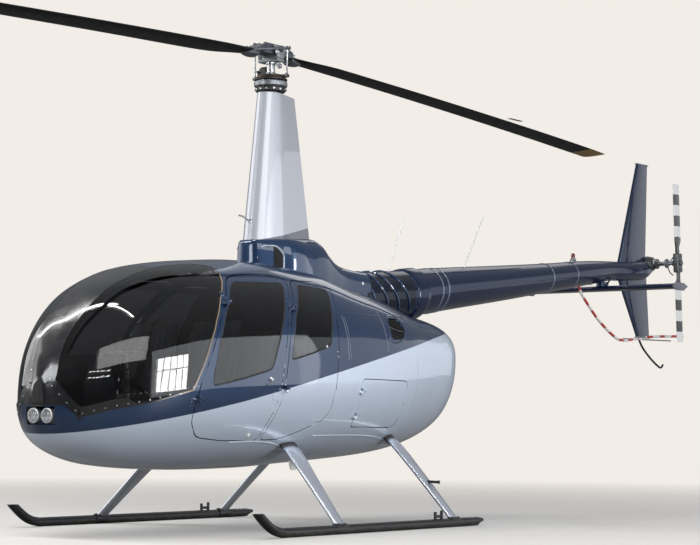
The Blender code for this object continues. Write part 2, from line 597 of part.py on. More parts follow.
BOOM_ROOT = ((1.0 + FIT, 1.668, 0.200), (1.3, 1.698, 0.197), (1.655, 1.733, 0.195), (1.665, 1.734, 0.207),
             (1.81, 1.752, 0.207))
boom_root = place(loft([circle_ring(*row) for row in BOOM_ROOT]), "boom_root_cowl", "dark_blue")
boolean(boom_root, grown_pod)

# Tail.
BOOM = (  # y, centre z, radius
    (1.81 + FIT, 1.760, 0.188), (2.18, 1.807, 0.177), (3.168, 1.923, 0.150), (4.04, 2.031, 0.1255),
    (4.49, 2.089, 0.1155), (4.80, 2.126, 0.104), (5.10, 2.158, 0.090), (5.30, 2.168, 0.089), (5.70, 2.200, 0.090),
    (5.80, 2.212, 0.070),
)
place(loft([circle_ring(*row) for row in BOOM]), "tailboom", "dark_blue")
boom_clear = place(loft([circle_ring(y, z, r + FIT) for y, z, r in BOOM]), "boom clearance")


def airfoil(chord, thick, points=9):
    """A symmetric section from its trailing edge over the top and back: (distance from the nose, height)."""
    fractions = [(1 - math.cos(math.pi * k / (points - 1))) / 2 for k in range(points)]

    def height(f):
        return thick * 5 * (0.2969 * f ** 0.5 - 0.126 * f - 0.3516 * f ** 2 + 0.2843 * f ** 3 - 0.1036 * f ** 4)

    top = [(chord * f, height(f) + (0.0008 if f == 1 else 0)) for f in reversed(fractions)]
    return top + [(x, -h) for x, h in reversed(top[:-1])]


gearbox_clear = [place(turned([(0.08, -0.08), (0.08, 0.08)], (0, *TAIL_ROTOR[1:]), "X"), "gearbox clearance"),
                 place(turned([(0.0585, -0.16), (0.0585, 0.0)], (0, TAIL_ROTOR[1], 2.225), "Y"), "neck clearance")]
FINS = {  # name: (leading edge y, its z, trailing edge y, its z, thickness) at both ends
    "upper_fin": ((5.232, 2.18, 5.805, 2.20, 0.055), (5.634, 3.213, 5.859, 3.229, 0.028)),
    "lower_fin": ((5.245, 2.12, 5.830, 2.15, 0.050), (5.621, 1.572, 5.886, 1.582, 0.030)),
}
GUARD = ((0, 4.50, 2.03), (0, 4.56, 1.93), (0, 4.70, 1.82), (0, 4.918, 1.679), (0, 5.205, 1.552), (0, 5.38, 1.530),
         (0, 5.60, 1.552), (0, 5.76, 1.572), (0.04, 6.0, 1.590), (0.12, 6.36, 1.605))
guard_clear = place(tube(GUARD, 0.0125, grow=FIT), "guard clearance")
for name, ends in FINS.items():
    rings = []
    for lead_y, lead_z, trail_y, trail_z, thick in ends:
        chord = trail_y - lead_y
        rings.append([(h, lead_y + d, lead_z + (trail_z - lead_z) * d / chord) for d, h in airfoil(chord, thick)])
    fin = place(loft(rings), name, "dark_blue")
    for tool in (boom_clear, *gearbox_clear):
        boolean(fin, tool)
    if name == "lower_fin":
        boolean(fin, guard_clear)
STABILIZER = (0.78, 4.82, 1.980, 0.30, 0.05)  # half span, leading edge y, z, chord, thickness
half_span, lead, height, chord, thick = STABILIZER
stabilizer = place(loft([[(x, lead + d, height + h) for d, h in airfoil(chord, thick)] for x in (-half_span, half_span)]),
                   "stabilizer", "dark_blue")
boolean(stabilizer, place(block((-0.03, 0.03), (4.90, 5.03), (height, 2.12)), "stabilizer bracket"), "UNION")
boolean(stabilizer, boom_clear)
guard = place(tube(GUARD, 0.0125), "tail_guard", "white")
boolean(guard, boom_clear)
STINGER = ((0, 5.665, 1.555), (0, 5.76, 1.47), (0, 5.92, 1.375), (0, 6.08, 1.305), (0, 6.14, 1.300), (0, 6.17, 1.325))
stinger = place(tube(STINGER, 0.010), "tail_skid", "black")
boolean(stinger, guard_clear)

tail_box = place(turned([(0.045, -0.075), (0.070, -0.055), (0.078, 0.0), (0.066, 0.05), (0.036, 0.075),
                         (0.034, 0.262)], (0, *TAIL_ROTOR[1:]), "X"), "tail_gearbox", "dark_metal")
boolean(tail_box, place(turned([(0.058, -0.15), (0.058, 0.0)], (0, TAIL_ROTOR[1], 2.225), "Y"), "gearbox neck"), "UNION")
boolean(tail_box, boom_clear)

tail_spin = empty("tail_rotor_spin", TAIL_ROTOR, datum, (TAIL_REST, 0, 0))
tail_hub = place(block((0.288, 0.340), (5.819, 5.919), (2.184, 2.364), 0.008), "tail_rotor_hub", "dark_metal", tail_spin)
boolean(tail_hub, place(turned([(0.026, -0.052 + FIT), (0.026, 0.045)], TAIL_ROTOR, "X"), "tail shaft", None, tail_spin), "UNION")
for name, way in (("tail_blade_upper", 1), ("tail_blade_lower", -1)):
    rings = []
    for reach, chord, thick in ((0.0905, 0.060, 0.034), (0.15, 0.064, 0.032), (0.21, 0.127, 0.018),
                                (TAIL_RADIUS, 0.127, 0.015)):
        rings.append([(TAIL_ROTOR[0] + h, TAIL_ROTOR[1] + way * (d - 0.4 * chord), TAIL_ROTOR[2] + way * reach)
                      for d, h in airfoil(chord, thick)])
    place(loft(rings), name, "white", tail_spin)

# Main rotor.
main_spin = empty("main_rotor_spin", (0, 0, TEETER_Z), datum, (0, 0, ROTOR_REST))
teeter = empty("teeter", (0, 0, TEETER_Z), datum, (TEETER_REST, 0, ROTOR_REST))
swash = place(turned([(0.118, 3.098), (0.122, 3.115), (0.122, 3.165), (0.110, 3.178)], (0, 0, 0), sides=24),
              "swashplate", "dark_metal")
boolean(swash, place(turned([(0.0555, 3.0), (0.0555, 3.3)], (0, 0, 0)), "swashplate bore"))
shaft = place(turned([(0.045, 3.12 + FIT), (0.045, 3.345)], (0, 0, 0)), "rotor_shaft", "steel", main_spin)
SHAFT_PARTS = [turned([(0.112, 3.186), (0.125, 3.196), (0.125, 3.226), (0.108, 3.236)], (0, 0, 0), sides=24),
               block((-0.155, 0.155), (-0.022, 0.022), (3.198, 3.222), 0.004),
               block((-0.088, 0.088), (-0.035, 0.035), (3.33, 3.352), 0.003)]
for side in (1, -1):
    SHAFT_PARTS.append(turned([(0.009, 3.21), (0.009, 3.37), (0.015, 3.374), (0.015, 3.388)], (side * 0.142, 0, 0), sides=8))
    SHAFT_PARTS.append(block(tuple(sorted((side * 0.063, side * 0.086))), (-0.032, 0.032), (3.335, 3.445), 0.005))
for n, bm in enumerate(SHAFT_PARTS):
    boolean(shaft, place(bm, f"shaft part {n}", None, main_spin), "UNION")
boolean(shaft, place(turned([(0.0225, -0.2), (0.0225, 0.2)], (0, 0, TEETER_Z), "X"), "teeter bore", None, main_spin))
hub = place(block((-0.056, 0.056), (-0.20, 0.20), (TEETER_Z - 0.046, TEETER_Z + 0.058), 0.012), "rotor_hub", "steel", teeter)
boolean(hub, place(turned([(0.022, -0.10), (0.022, 0.10)], (0, 0, TEETER_Z), "X"), "teeter bolt", None, teeter), "UNION")

BLADE = (  # station radius, 0 for round to 1 for the blade's section, width, thickness, pitch in degrees
    (0.20 + FIT, 0.0, 0.090, 0.090, 0.0), (0.235, 0.0, 0.094, 0.094, 0.0), (0.33, 0.0, 0.090, 0.090, 0.0),
    (0.37, 0.0, 0.070, 0.066, 0.0), (0.50, 0.3, 0.110, 0.055, 3.0), (0.66, 1.0, 0.230, 0.034, 4.5),
    (0.85, 1.0, BLADE_CHORD, 0.032, 4.5), (1.6, 1.0, BLADE_CHORD, 0.031, 3.5), (2.5, 1.0, BLADE_CHORD, 0.030, 2.5),
    (3.3, 1.0, BLADE_CHORD, 0.029, 1.5), (4.1, 1.0, BLADE_CHORD, 0.027, 0.5), (4.72, 1.0, BLADE_CHORD, 0.026, 0.0),
    (ROTOR_RADIUS, 1.0, BLADE_CHORD * 0.97, 0.024, 0.0),
)


def blade_ring(reach, shape, width, thick, pitch):
    """One section of the forward blade, whose leading edge is on the aircraft's left."""
    drop = -0.035 - 0.030 * reach - 0.0028 * reach ** 2
    foil = airfoil(width, thick)
    count = len(foil)
    ring = []
    for k, (d, h) in enumerate(foil):
        round_at = 2 * math.pi * k / count
        x = (1 - shape) * (-width / 2 * math.cos(round_at)) + shape * (0.3 * width - d)
        z = (1 - shape) * (thick / 2 * math.sin(round_at)) + shape * h
        turn = math.radians(pitch)
        ring.append((x * math.cos(turn) - z * math.sin(turn), -reach, TEETER_Z + drop + x * math.sin(turn) + z * math.cos(turn)))
    return ring


for name, way in (("main_blade_forward", 1), ("main_blade_aft", -1)):
    half_turn = Matrix.Rotation(math.pi if way < 0 else 0, 4, "Z")
    blade = loft([blade_ring(*row) for row in BLADE])
    horn = tube([(0.03, -0.27, TEETER_Z - 0.03), (0.115, -0.17, TEETER_Z - 0.02), (0.142, -0.012, TEETER_Z - 0.004)], 0.012)
    for bm in (blade, horn):
        bmesh.ops.transform(bm, matrix=half_turn, verts=bm.verts)
    body = place(blade, name, "black", teeter)
    boolean(body, place(horn, name + " horn", None, teeter), "UNION")

# Landing gear.
SKID = ((-1.44, 0.150, 0.030), (-1.40, 0.120, 0.031), (-1.30, 0.058, 0.031), (-1.20, 0.033, 0.031),
        (-1.08, 0.031, 0.031), (0.0, 0.031, 0.031), (1.00, 0.031, 0.031), (1.10, 0.034, 0.026), (1.18, 0.040, 0.012))
legs = {name: place(cross_tube(rows), name, "silver_blue") for name, rows in CROSS_TUBES.items()}
for label, side in SIDES:
    path = [(side * HALF_TREAD, y, z, r) for y, z, r in SKID]
    place(tube(path, SKID_RADIUS, sides=10), f"skid_{label}", "black")
    clearance = place(tube(path, SKID_RADIUS, sides=10, grow=FIT), f"skid clearance {label}")
    for leg in legs.values():
        boolean(leg, clearance)

place(block((5 * FIT - LAMP_HALF, LAMP_HALF - 5 * FIT), (LAMP_Y - 0.030, LAMP_Y - FIT),
            (LAMP_LOW + 5 * FIT, LAMP_HIGH - 5 * FIT), 0.004), "landing_light", "steel")
weld(lower_fuselage, cabin_frame, bpy.data.objects["baggage_door"])
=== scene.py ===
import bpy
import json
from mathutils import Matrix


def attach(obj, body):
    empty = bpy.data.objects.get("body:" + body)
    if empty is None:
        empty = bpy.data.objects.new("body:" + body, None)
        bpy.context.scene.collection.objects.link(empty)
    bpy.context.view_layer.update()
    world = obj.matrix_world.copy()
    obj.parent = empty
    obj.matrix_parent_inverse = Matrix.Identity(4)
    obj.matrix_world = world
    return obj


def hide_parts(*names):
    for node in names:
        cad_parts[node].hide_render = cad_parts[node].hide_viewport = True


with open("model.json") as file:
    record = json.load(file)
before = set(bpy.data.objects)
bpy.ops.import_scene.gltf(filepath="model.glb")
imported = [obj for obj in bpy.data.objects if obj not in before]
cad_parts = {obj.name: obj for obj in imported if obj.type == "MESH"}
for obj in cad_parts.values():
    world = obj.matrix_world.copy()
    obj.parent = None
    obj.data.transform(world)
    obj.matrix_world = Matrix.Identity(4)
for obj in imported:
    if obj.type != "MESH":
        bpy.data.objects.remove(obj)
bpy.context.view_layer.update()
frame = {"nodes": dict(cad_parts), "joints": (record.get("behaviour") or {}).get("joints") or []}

import json
import math

import bmesh
import bpy
import numpy as np
from mathutils import Matrix, Vector
from mathutils.bvhtree import BVHTree

# The camera stands ahead of the nose on the aircraft's left, a little over knee height, and looks
# slightly up along the fuselage. Its place and lens are those of the photograph's frame, 700 by 545.
camera = bpy.data.objects.new("camera", bpy.data.cameras.new("camera"))
bpy.context.scene.collection.objects.link(camera)
bpy.context.scene.camera = camera
CAMERA_PLACE = (8.8234, -11.9572, 0.6885)
HEADING, RISE, ROLL = 0.622896, 0.07777, 0.007393
camera.data.sensor_width, camera.data.lens, camera.data.clip_end = 36.0, 103.17, 200
camera.matrix_world = (Matrix.Translation(CAMERA_PLACE) @ Matrix.Rotation(HEADING, 4, "Z")
                       @ Matrix.Rotation(math.pi / 2 + RISE, 4, "X") @ Matrix.Rotation(ROLL, 4, "Z"))

# The studio is a pale floor that fades into a pale surround. Long soft strips overhead, a paned window
# at the side and rows of small lamps by the camera show as clean reflections in the paint and the glass.
bpy.context.scene.view_settings.view_transform = "Standard"
SURROUND = (0.887, 0.847, 0.799)
FLOOR = (0.74, 0.718, 0.685)


def add(tree, kind, *inputs, **settings):
    """A shader node with its settings, and its inputs given as values or as the sockets that feed them."""
    made = tree.nodes.new("ShaderNode" + kind)
    for key, value in settings.items():
        setattr(made, key, value)
    for socket, value in inputs:
        if isinstance(value, bpy.types.NodeSocket):
            tree.links.new(value, made.inputs[socket])
        else:
            made.inputs[socket].default_value = value
    return made.outputs[0]


def mixed(tree, share, one, two):
    """One colour turning into another by a share."""
    one, two = ((*c, 1) if isinstance(c, tuple) else c for c in (one, two))
    return add(tree, "Mix", (0, share), (6, one), (7, two), data_type="RGBA").node.outputs[2]


def ramp(tree, value, low, high, start=0.0, end=1.0):
    return add(tree, "MapRange", (0, value), (1, low), (2, high), (3, start), (4, end))


def sums(tree, one, how, two):
    return add(tree, "Math", (0, one), (1, two), operation=how)


world = bpy.data.worlds.new("studio")
bpy.context.scene.world = world
world.use_nodes = True
tree = world.node_tree
height = add(tree, "SeparateXYZ", (0, add(tree, "TexCoord").node.outputs["Generated"])).node.outputs[2]
upper = mixed(tree, ramp(tree, height, 0.10, 0.75), (0.10, 0.105, 0.115), (0.36, 0.37, 0.39))
around = mixed(tree, ramp(tree, height, -0.3, 0.02), (0.32, 0.31, 0.30), upper)
seen = mixed(tree, add(tree, "LightPath").node.outputs["Is Camera Ray"], around, SURROUND)
tree.links.new(seen, tree.nodes["Background"].inputs["Color"])


def light(name, place, target, size, power, colour=(1, 1, 1)):
    lamp = bpy.data.lights.new(name, "AREA")
    lamp.shape, lamp.size, lamp.size_y, lamp.energy, lamp.color = "RECTANGLE", *size, power, colour
    holder = bpy.data.objects.new(name, lamp)
    holder.matrix_world = (Matrix.Translation(place)
                           @ (Vector(target) - Vector(place)).to_track_quat("-Z", "Y").to_matrix().to_4x4())
    bpy.context.scene.collection.objects.link(holder)


STRIP_Y, STRIP_HEIGHT, STRIP_LENGTH, STRIP_POWER = -3.7, 7.5, 9.6, 288
for x, width in ((-3.4, 0.28), (-0.2, 0.09)):
    light(f"overhead_{x}", (x, STRIP_Y, STRIP_HEIGHT), (x * 0.2, STRIP_Y, 0.0), (width, STRIP_LENGTH),
          STRIP_POWER, (1.0, 0.99, 0.97))
WINDOW_X, PANE_WIDTH, PANE_PITCH, PANE_POWER = 10.3, 0.40, 0.46, 34
for column in range(5):
    for row, (low, high) in enumerate(((1.1, 2.3), (2.36, 3.5))):
        y, middle = -1.85 + PANE_PITCH * column, (low + high) / 2
        light(f"window_{column}_{row}", (WINDOW_X, y, middle), (0.3, y * 0.6, middle),
              (PANE_WIDTH, high - low), PANE_POWER)
for column in range(5):
    for row in range(2):
        place = (9.6 - 0.75 * column, -8.2 - 0.45 * column, 3.0 + 0.7 * row)
        light(f"lamp_{column}_{row}", place, (0.4, -2.5, 1.0), (0.42, 0.10), 5)
light("fill", (11.0, -7.0, 6.5), (0.4, -1.2, 1.0), (8.0, 4.0), 400)
light("wall", (11.0, 4.0, 2.8), (0.0, 0.8, 1.3), (14.0, 5.0), 480, (0.93, 0.96, 1.0))
light("wall_aft", (5.5, 14.0, 3.0), (0.5, 0.5, 1.2), (12.0, 5.0), 135, (0.93, 0.96, 1.0))
light("front", (-4.0, -13.0, 4.2), (0.0, -1.5, 1.4), (4.0, 3.0), 330, (0.96, 0.98, 1.0))
light("far_side", (-9.0, -4.0, 4.0), (0.0, -1.0, 1.2), (7.0, 5.0), 260)
light("behind", (-3.0, 11.0, 8.0), (0.0, 3.0, 1.5), (5.0, 3.0), 45)


def finish_of(name, colour, roughness, metallic=0.0, **sockets):
    """A material with its shader's constants. Underscores in a socket's name stand for spaces."""
    made = bpy.data.materials.new(name)
    made.use_nodes = True
    shader = made.node_tree.nodes["Principled BSDF"]
    for socket, value in (("Base Color", (*colour, 1)), ("Roughness", roughness), ("Metallic", metallic)):
        shader.inputs[socket].default_value = value
    for socket, value in sockets.items():
        shader.inputs[socket.replace("_", " ")].default_value = value
    return made, made.node_tree, shader


def spot_of(tree):
    return add(tree, "TexCoord").node.outputs["Object"]


def speckle(tree, scale, detail=3.0, rough=0.6):
    return add(tree, "TexNoise", ("Vector", spot_of(tree)), ("Scale", scale), ("Detail", detail),
               ("Roughness", rough))


def feed(tree, shader, socket, value):
    tree.links.new(value, shader.inputs[socket])


def bumped(tree, shader, height, strength, distance=0.001):
    feed(tree, shader, "Normal", add(tree, "Bump", ("Height", height), ("Strength", strength),
                                     ("Distance", distance)))


def worn(name, colour, other, roughness, metallic=0.0, scale=30.0, bump=0.1, spread=0.08, **sockets):
    """A finish whose colour, gloss and surface vary a little, as on any handled or painted thing."""
    made, tree, shader = finish_of(name, colour, roughness, metallic, **sockets)
    patches = speckle(tree, scale, 5.0)
    feed(tree, shader, "Base Color", mixed(tree, ramp(tree, patches, 0.35, 0.68), colour, other))
    feed(tree, shader, "Roughness", ramp(tree, speckle(tree, scale * 0.4), 0.3, 0.7, roughness - spread,
                                         roughness + spread))
    bumped(tree, shader, speckle(tree, scale * 9), bump)
    return made


floor_finish, tree, shader = finish_of("studio_floor", FLOOR, 0.55)
clean = mixed(tree, ramp(tree, speckle(tree, 1.3, 5.0), 0.35, 0.7), FLOOR, tuple(0.965 * c for c in FLOOR))
# The aircraft is lit by a darker floor than the one in view, as under a hall's lamps.
feed(tree, shader, "Base Color", mixed(tree, add(tree, "LightPath").node.outputs["Is Camera Ray"],
                                       (0.16, 0.155, 0.15), clean))
away = add(tree, "VectorMath", (0, spot_of(tree)), operation="LENGTH").node.outputs["Value"]
FADE_FROM, FADE_TO, FLOOR_RADIUS = 3.0, 13.0, 26
feed(tree, shader, "Alpha", ramp(tree, away, FADE_FROM, FADE_TO, 1.0, 0.0))
bm = bmesh.new()
bmesh.ops.create_circle(bm, cap_ends=True, radius=FLOOR_RADIUS, segments=96)
mesh = bpy.data.meshes.new("floor")
bm.to_mesh(mesh)
bm.free()
mesh.materials.append(floor_finish)
floor = bpy.data.objects.new("floor", mesh)
bpy.context.scene.collection.objects.link(floor)

# The cabin, engine bay and belly share one egg-shaped shell of aluminium and moulded panels. Its
# sections are superellipses, so each panel's outer face is divided finely and laid on that form.
MAST = Vector((0, next(j["pos_m"][1] for j in frame["joints"] if j["name"] == "main_rotor_spin"), 0))
POD_UPPER, POD_LOWER = 2.507, 2.118
POD = np.array((  # y aft of the mast, bottom z, top z, half width, z of the widest line
    (-2.308, 0.728, 0.974, 0.048, 0.801), (-2.248, 0.608, 1.163, 0.208, 0.808),
    (-2.108, 0.518, 1.381, 0.369, 0.842), (-1.800, 0.444, 1.625, 0.551, 0.899),
    (-1.400, 0.416, 1.759, 0.672, 0.967), (-1.000, 0.407, 1.814, 0.722, 0.998),
    (-0.500, 0.413, 1.848, 0.733, 1.024), (0.000, 0.439, 1.828, 0.727, 1.038),
    (0.500, 0.465, 1.753, 0.700, 1.064), (0.900, 0.491, 1.680, 0.655, 1.112),
    (1.300, 0.536, 1.591, 0.572, 1.166), (1.752, 0.653, 1.527, 0.456, 1.217),
    (2.002, 0.820, 1.437, 0.262, 1.237), (2.102, 0.949, 1.337, 0.087, 1.237)))
POD_STATIONS = (-2.308, -2.292, -2.26, -2.205, -2.12, -2.0, -1.84, -1.64, -1.38, -1.08, -0.72, -0.33, 0.06,
                0.45, 0.8, 1.1, 1.4, 1.65, 1.86, 2.01, 2.102)


def steady_slopes(x, y):
    """Slopes of a cubic through the points that never overshoots them."""
    h, d = np.diff(x), np.diff(y) / np.diff(x)
    m = np.zeros(len(x))
    for k in range(1, len(x) - 1):
        if d[k - 1] * d[k] > 0:
            one, two = 2 * h[k] + h[k - 1], h[k] + 2 * h[k - 1]
            m[k] = (one + two) / (one / d[k - 1] + two / d[k])
    for end, h0, h1, d0, d1 in ((0, h[0], h[1], d[0], d[1]), (-1, h[-1], h[-2], d[-1], d[-2])):
        slope = ((2 * h0 + h1) * d0 - h0 * d1) / (h0 + h1)
        m[end] = 0 if slope * d0 <= 0 else slope
        if d0 * d1 <= 0 and abs(slope) > 3 * abs(d0):
            m[end] = 3 * d0
    return m


POD_SLOPES = np.array([steady_slopes(POD[:, 0], POD[:, c]) for c in range(1, 5)]).T


def pod_at(y):
    """Bottom, top, half width and widest height of the pod at stations, from its table."""
    y = np.clip(y, POD[0, 0], POD[-1, 0])
    k = np.clip(np.searchsorted(POD[:, 0], y) - 1, 0, len(POD) - 2)
    h = (POD[k + 1, 0] - POD[k, 0])[..., None]
    t = (y - POD[k, 0])[..., None] / h
    return (POD[k, 1:] * (1 + 2 * t) * (1 - t) ** 2 + POD[k + 1, 1:] * t * t * (3 - 2 * t)
            + h * (POD_SLOPES[k] * t * (1 - t) ** 2 - POD_SLOPES[k + 1] * t * t * (1 - t))).T


def pod_level(p):
    """Below 1 inside the pod, 1 on its surface and more outside, growing evenly with distance."""
    low, high, half, widest = pod_at(p[:, 1])
    over = p[:, 2] > widest
    power, reach = np.where(over, POD_UPPER, POD_LOWER), np.where(over, high - widest, widest - low)
    return ((np.abs(p[:, 0]) / half) ** power + (np.abs(p[:, 2] - widest) / reach) ** power) ** (1 / power)


def pod_slope(p, step=0.001):
    return np.stack([(pod_level(p + step * axis) - pod_level(p - step * axis)) / (2 * step)
                     for axis in np.eye(3)], 1)


def pod_normals(p):
    slope = pod_slope(np.atleast_2d(p))
    return slope / np.linalg.norm(slope, axis=1, keepdims=True)


def onto_pod(p, out=0.0):
    p = np.atleast_2d(np.array(p, float))
    for _ in range(4):
        slope = pod_slope(p)
        p = p - slope * ((pod_level(p) - 1) / (slope ** 2).sum(1))[:, None]
    return p + out * pod_normals(p)


def on_side(points, side=1, out=0.0):
    """Points of the side view laid on the pod's flank."""
    y, z = np.array(points, float).T
    low, high, half, widest = pod_at(y)
    over = z > widest
    power, reach = np.where(over, POD_UPPER, POD_LOWER), np.where(over, high - widest, widest - low)
    x = half * np.maximum(0.0, 1 - (np.abs(z - widest) / reach) ** power) ** (1 / power)
    p = np.stack((x, y, z), 1)
    return (p + out * pod_normals(p)) * (side, 1, 1)


def skinned(rows, bm=None, closed=True, round_again=False):
    """Bridges a row of equal rings of points into one skin, with its ends capped or joined."""
    bm = bm or bmesh.new()
    rings = []
    for row in rows:
        verts = [bm.verts.new(tuple(p)) for p in row]
        rings.append([bm.edges.new((verts[k - 1], verts[k])) for k in range(0 if closed else 1, len(verts))])
    for one, two in zip(rings, rings[1:] + (rings[:1] if round_again else [])):
        bmesh.ops.bridge_loops(bm, edges=one + two)
    if closed and not round_again:
        for ring in (rings[0], rings[-1]):
            bmesh.ops.edgeloop_fill(bm, edges=ring)
    bmesh.ops.recalc_face_normals(bm, faces=bm.faces)
    return bm


def power_of(value, power):
    return math.copysign(abs(value) ** power, value)


def pod_ring(y, sides=36):
    low, high, half, widest = pod_at(np.array(y))
    ring = []
    for k in range(sides):
        c, s = math.cos(2 * math.pi * k / sides), math.sin(2 * math.pi * k / sides)
        power, reach = (POD_UPPER, high - widest) if s > 0 else (POD_LOWER, widest - low)
        ring.append((half * power_of(c, 2 / power), y, widest + reach * power_of(s, 2 / power)))
    return ring


def pod_form(inset):
    """The CAD's own faceted pod, to tell a panel's outer faces from its others."""
    bm = skinned([pod_ring(y) for y in POD_STATIONS])
    bm.normal_update()
    for v, normal in [(v, v.normal.copy()) for v in bm.verts]:
        v.co -= normal * inset
    bmesh.ops.triangulate(bm, faces=bm.faces)
    tree = BVHTree.FromBMesh(bm)
    bm.free()
    return tree


POD_FORMS = {inset: pod_form(inset) for inset in (0.0, 0.004)}
POD_ENDS = (POD_STATIONS[0] + 0.0005, POD_STATIONS[-1] - 0.0005)
OUTER, INNER, PROUD = range(3)


def copied(node):
    """A CAD node's mesh in mast coordinates, with its loose triangles joined."""
    bm = bmesh.new()
    bm.from_mesh(frame["nodes"][node].data)
    bmesh.ops.remove_doubles(bm, verts=bm.verts, dist=2e-5)
    bmesh.ops.translate(bm, vec=-MAST, verts=bm.verts)
    bm.normal_update()
    return bm


def laid_on_pod(node, depth=0.0, longest=0.045):
    """A pod panel's mesh, its outer faces divided and laid on the smooth form."""
    bm = copied(node)
    levels = pod_level(np.array([f.calc_center_median() for f in bm.faces]))
    for face, level in zip(list(bm.faces), levels):
        centre = face.calc_center_median()
        _, normal, _, distance = POD_FORMS[depth].find_nearest(centre)
        if distance < 4e-4 and face.normal.dot(normal) > 0.95 and POD_ENDS[0] < centre.y < POD_ENDS[1]:
            face.material_index = OUTER
        else:
            face.material_index = PROUD if level > 0.984 and depth == 0 else INNER
    for _ in range(5):
        edges = {e for f in bm.faces if f.material_index == OUTER
                 for e in f.edges if e.calc_length() > longest}
        if not edges:
            break
        bmesh.ops.subdivide_edges(bm, edges=list(edges), cuts=1)
        bmesh.ops.triangulate(bm, faces=[f for f in bm.faces if len(f.verts) > 3])
    outer = list({v for f in bm.faces if f.material_index == OUTER for v in f.verts})
    if outer:
        for v, place in zip(outer, onto_pod(np.array([v.co for v in outer]), -depth)):
            v.co = place
    return bm


def piece(bm, name, body, *finishes, slot=None, replaces=(), angle=35, bevel=0.0, turn=None):
    """Makes a piece from a mesh in mast coordinates, turned if asked. Its sharp edges may be bevelled."""
    if turn is not None:
        bmesh.ops.transform(bm, matrix=turn, verts=bm.verts)
    bmesh.ops.translate(bm, vec=MAST, verts=bm.verts)
    mesh = bpy.data.meshes.new(name)
    bm.to_mesh(mesh)
    bm.free()
    for finish in finishes:
        mesh.materials.append(finish)
    mesh.shade_smooth()
    mesh.set_sharp_from_angle(angle=math.radians(angle))
    made = bpy.data.objects.new(name, mesh)
    bpy.context.scene.collection.objects.link(made)
    if bevel:
        edges = made.modifiers.new("edges", "BEVEL")
        edges.width, edges.segments, edges.limit_method = bevel, 2, "ANGLE"
        edges.angle_limit = math.radians(angle)
    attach(made, body)
    if replaces:
        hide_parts(*((replaces,) if isinstance(replaces, str) else replaces))
    return made


def shaded_by_pod(made, inside_too=False):
    """Gives a panel's outer faces the smooth form's own normals, so that reflections run true."""
    mesh = made.data
    corners, at = np.empty(len(mesh.loops) * 3, np.float32), np.empty(len(mesh.loops), np.int32)
    mesh.corner_normals.foreach_get("vector", corners)
    mesh.loops.foreach_get("vertex_index", at)
    places = np.empty(len(mesh.vertices) * 3, np.float32)
    facings = np.empty(len(mesh.polygons) * 3, np.float32)
    mesh.vertices.foreach_get("co", places)
    mesh.polygons.foreach_get("normal", facings)
    totals, kinds = np.empty(len(mesh.polygons), np.int32), np.empty(len(mesh.polygons), np.int32)
    mesh.polygons.foreach_get("loop_total", totals)
    mesh.polygons.foreach_get("material_index", kinds)
    corners = corners.reshape(-1, 3)
    normals = pod_normals(places.reshape(-1, 3) - np.array(MAST))[at]
    along = (np.repeat(facings.reshape(-1, 3), totals, 0) * normals).sum(1)
    outward = (along > 0.9) & (np.repeat(kinds, totals) == OUTER)
    corners[outward] = normals[outward]
    if inside_too:
        corners[along < -0.9] = -normals[along < -0.9]
    mesh.normals_split_custom_set(corners.tolist())
    return made


SILVER, DARK = (0.58, 0.66, 0.78), (0.014, 0.034, 0.082)


def automotive(name, line=None, silver_over=False, silver=SILVER, dark=DARK, lacquer=1.0, metal=0.30):
    """Metallic paint under clear lacquer. A line over y, highest power first, parts silver from blue."""
    made, tree, shader = finish_of(name, dark, 0.30, metal, Specular_IOR_Level=0.12, Coat_Weight=lacquer,
                                   Coat_Roughness=0.03, Coat_IOR=1.5)
    flakes = add(tree, "TexVoronoi", ("Vector", spot_of(tree)), ("Scale", 900.0))
    share = ramp(tree, flakes.node.outputs["Distance"], 0.0, 0.8, 0.0, 1.0)
    parts = add(tree, "SeparateXYZ", (0, spot_of(tree)))
    y, z = parts.node.outputs[1], parts.node.outputs[2]
    blue = mixed(tree, share, tuple(1.35 * c for c in dark), dark)
    if line is None:
        feed(tree, shader, "Base Color", blue)
    else:
        curve = sums(tree, y, "MULTIPLY", line[0])
        for factor in line[1:-1]:
            curve = sums(tree, sums(tree, curve, "ADD", factor), "MULTIPLY", y)
        over = sums(tree, z, "SUBTRACT", sums(tree, curve, "ADD", line[-1]))
        if silver_over:
            over = sums(tree, over, "MULTIPLY", -1.0)
        # Towards the bottom, the silver turns a little darker and browner in patches.
        bottom_patches = ramp(tree, speckle(tree, 5.0, 6.0), 0.4, 0.75, 0.0, 0.10)
        low = ramp(tree, z, 0.42, 0.62, 1.0, 0.0)
        pale = mixed(tree, share, tuple(1.06 * c for c in silver), tuple(0.94 * c for c in silver))
        bottom_patched = mixed(tree, sums(tree, bottom_patches, "MULTIPLY", low), pale, (0.30, 0.29, 0.27))
        feed(tree, shader, "Base Color", mixed(tree, ramp(tree, over, -0.0015, 0.0015), bottom_patched, blue))
        feed(tree, shader, "Roughness", ramp(tree, over, -0.0015, 0.0015, 0.36, 0.26))
    bumped(tree, shader, speckle(tree, 160.0, 1.0), 0.02, 0.0004)
    return made


body_paint = automotive("body_paint", (-0.00493, -0.01609, 0.19926, 1.24294))
blue_paint = automotive("blue_paint")
lining = worn("cabin_lining", (0.020, 0.020, 0.022), (0.030, 0.030, 0.033), 0.8, scale=14.0, bump=0.5)
PANELS = {"lower_fuselage": "silver_blue_paint", "cabin_frame": "dark_blue_paint",
          "cowl_forward": "dark_blue_paint", "cowl_aft": "dark_blue_paint"}
for node, slot in PANELS.items():
    shaded_by_pod(piece(laid_on_pod(node), node + "_skin", "airframe", body_paint, lining, body_paint,
                        slot=slot, replaces=node))

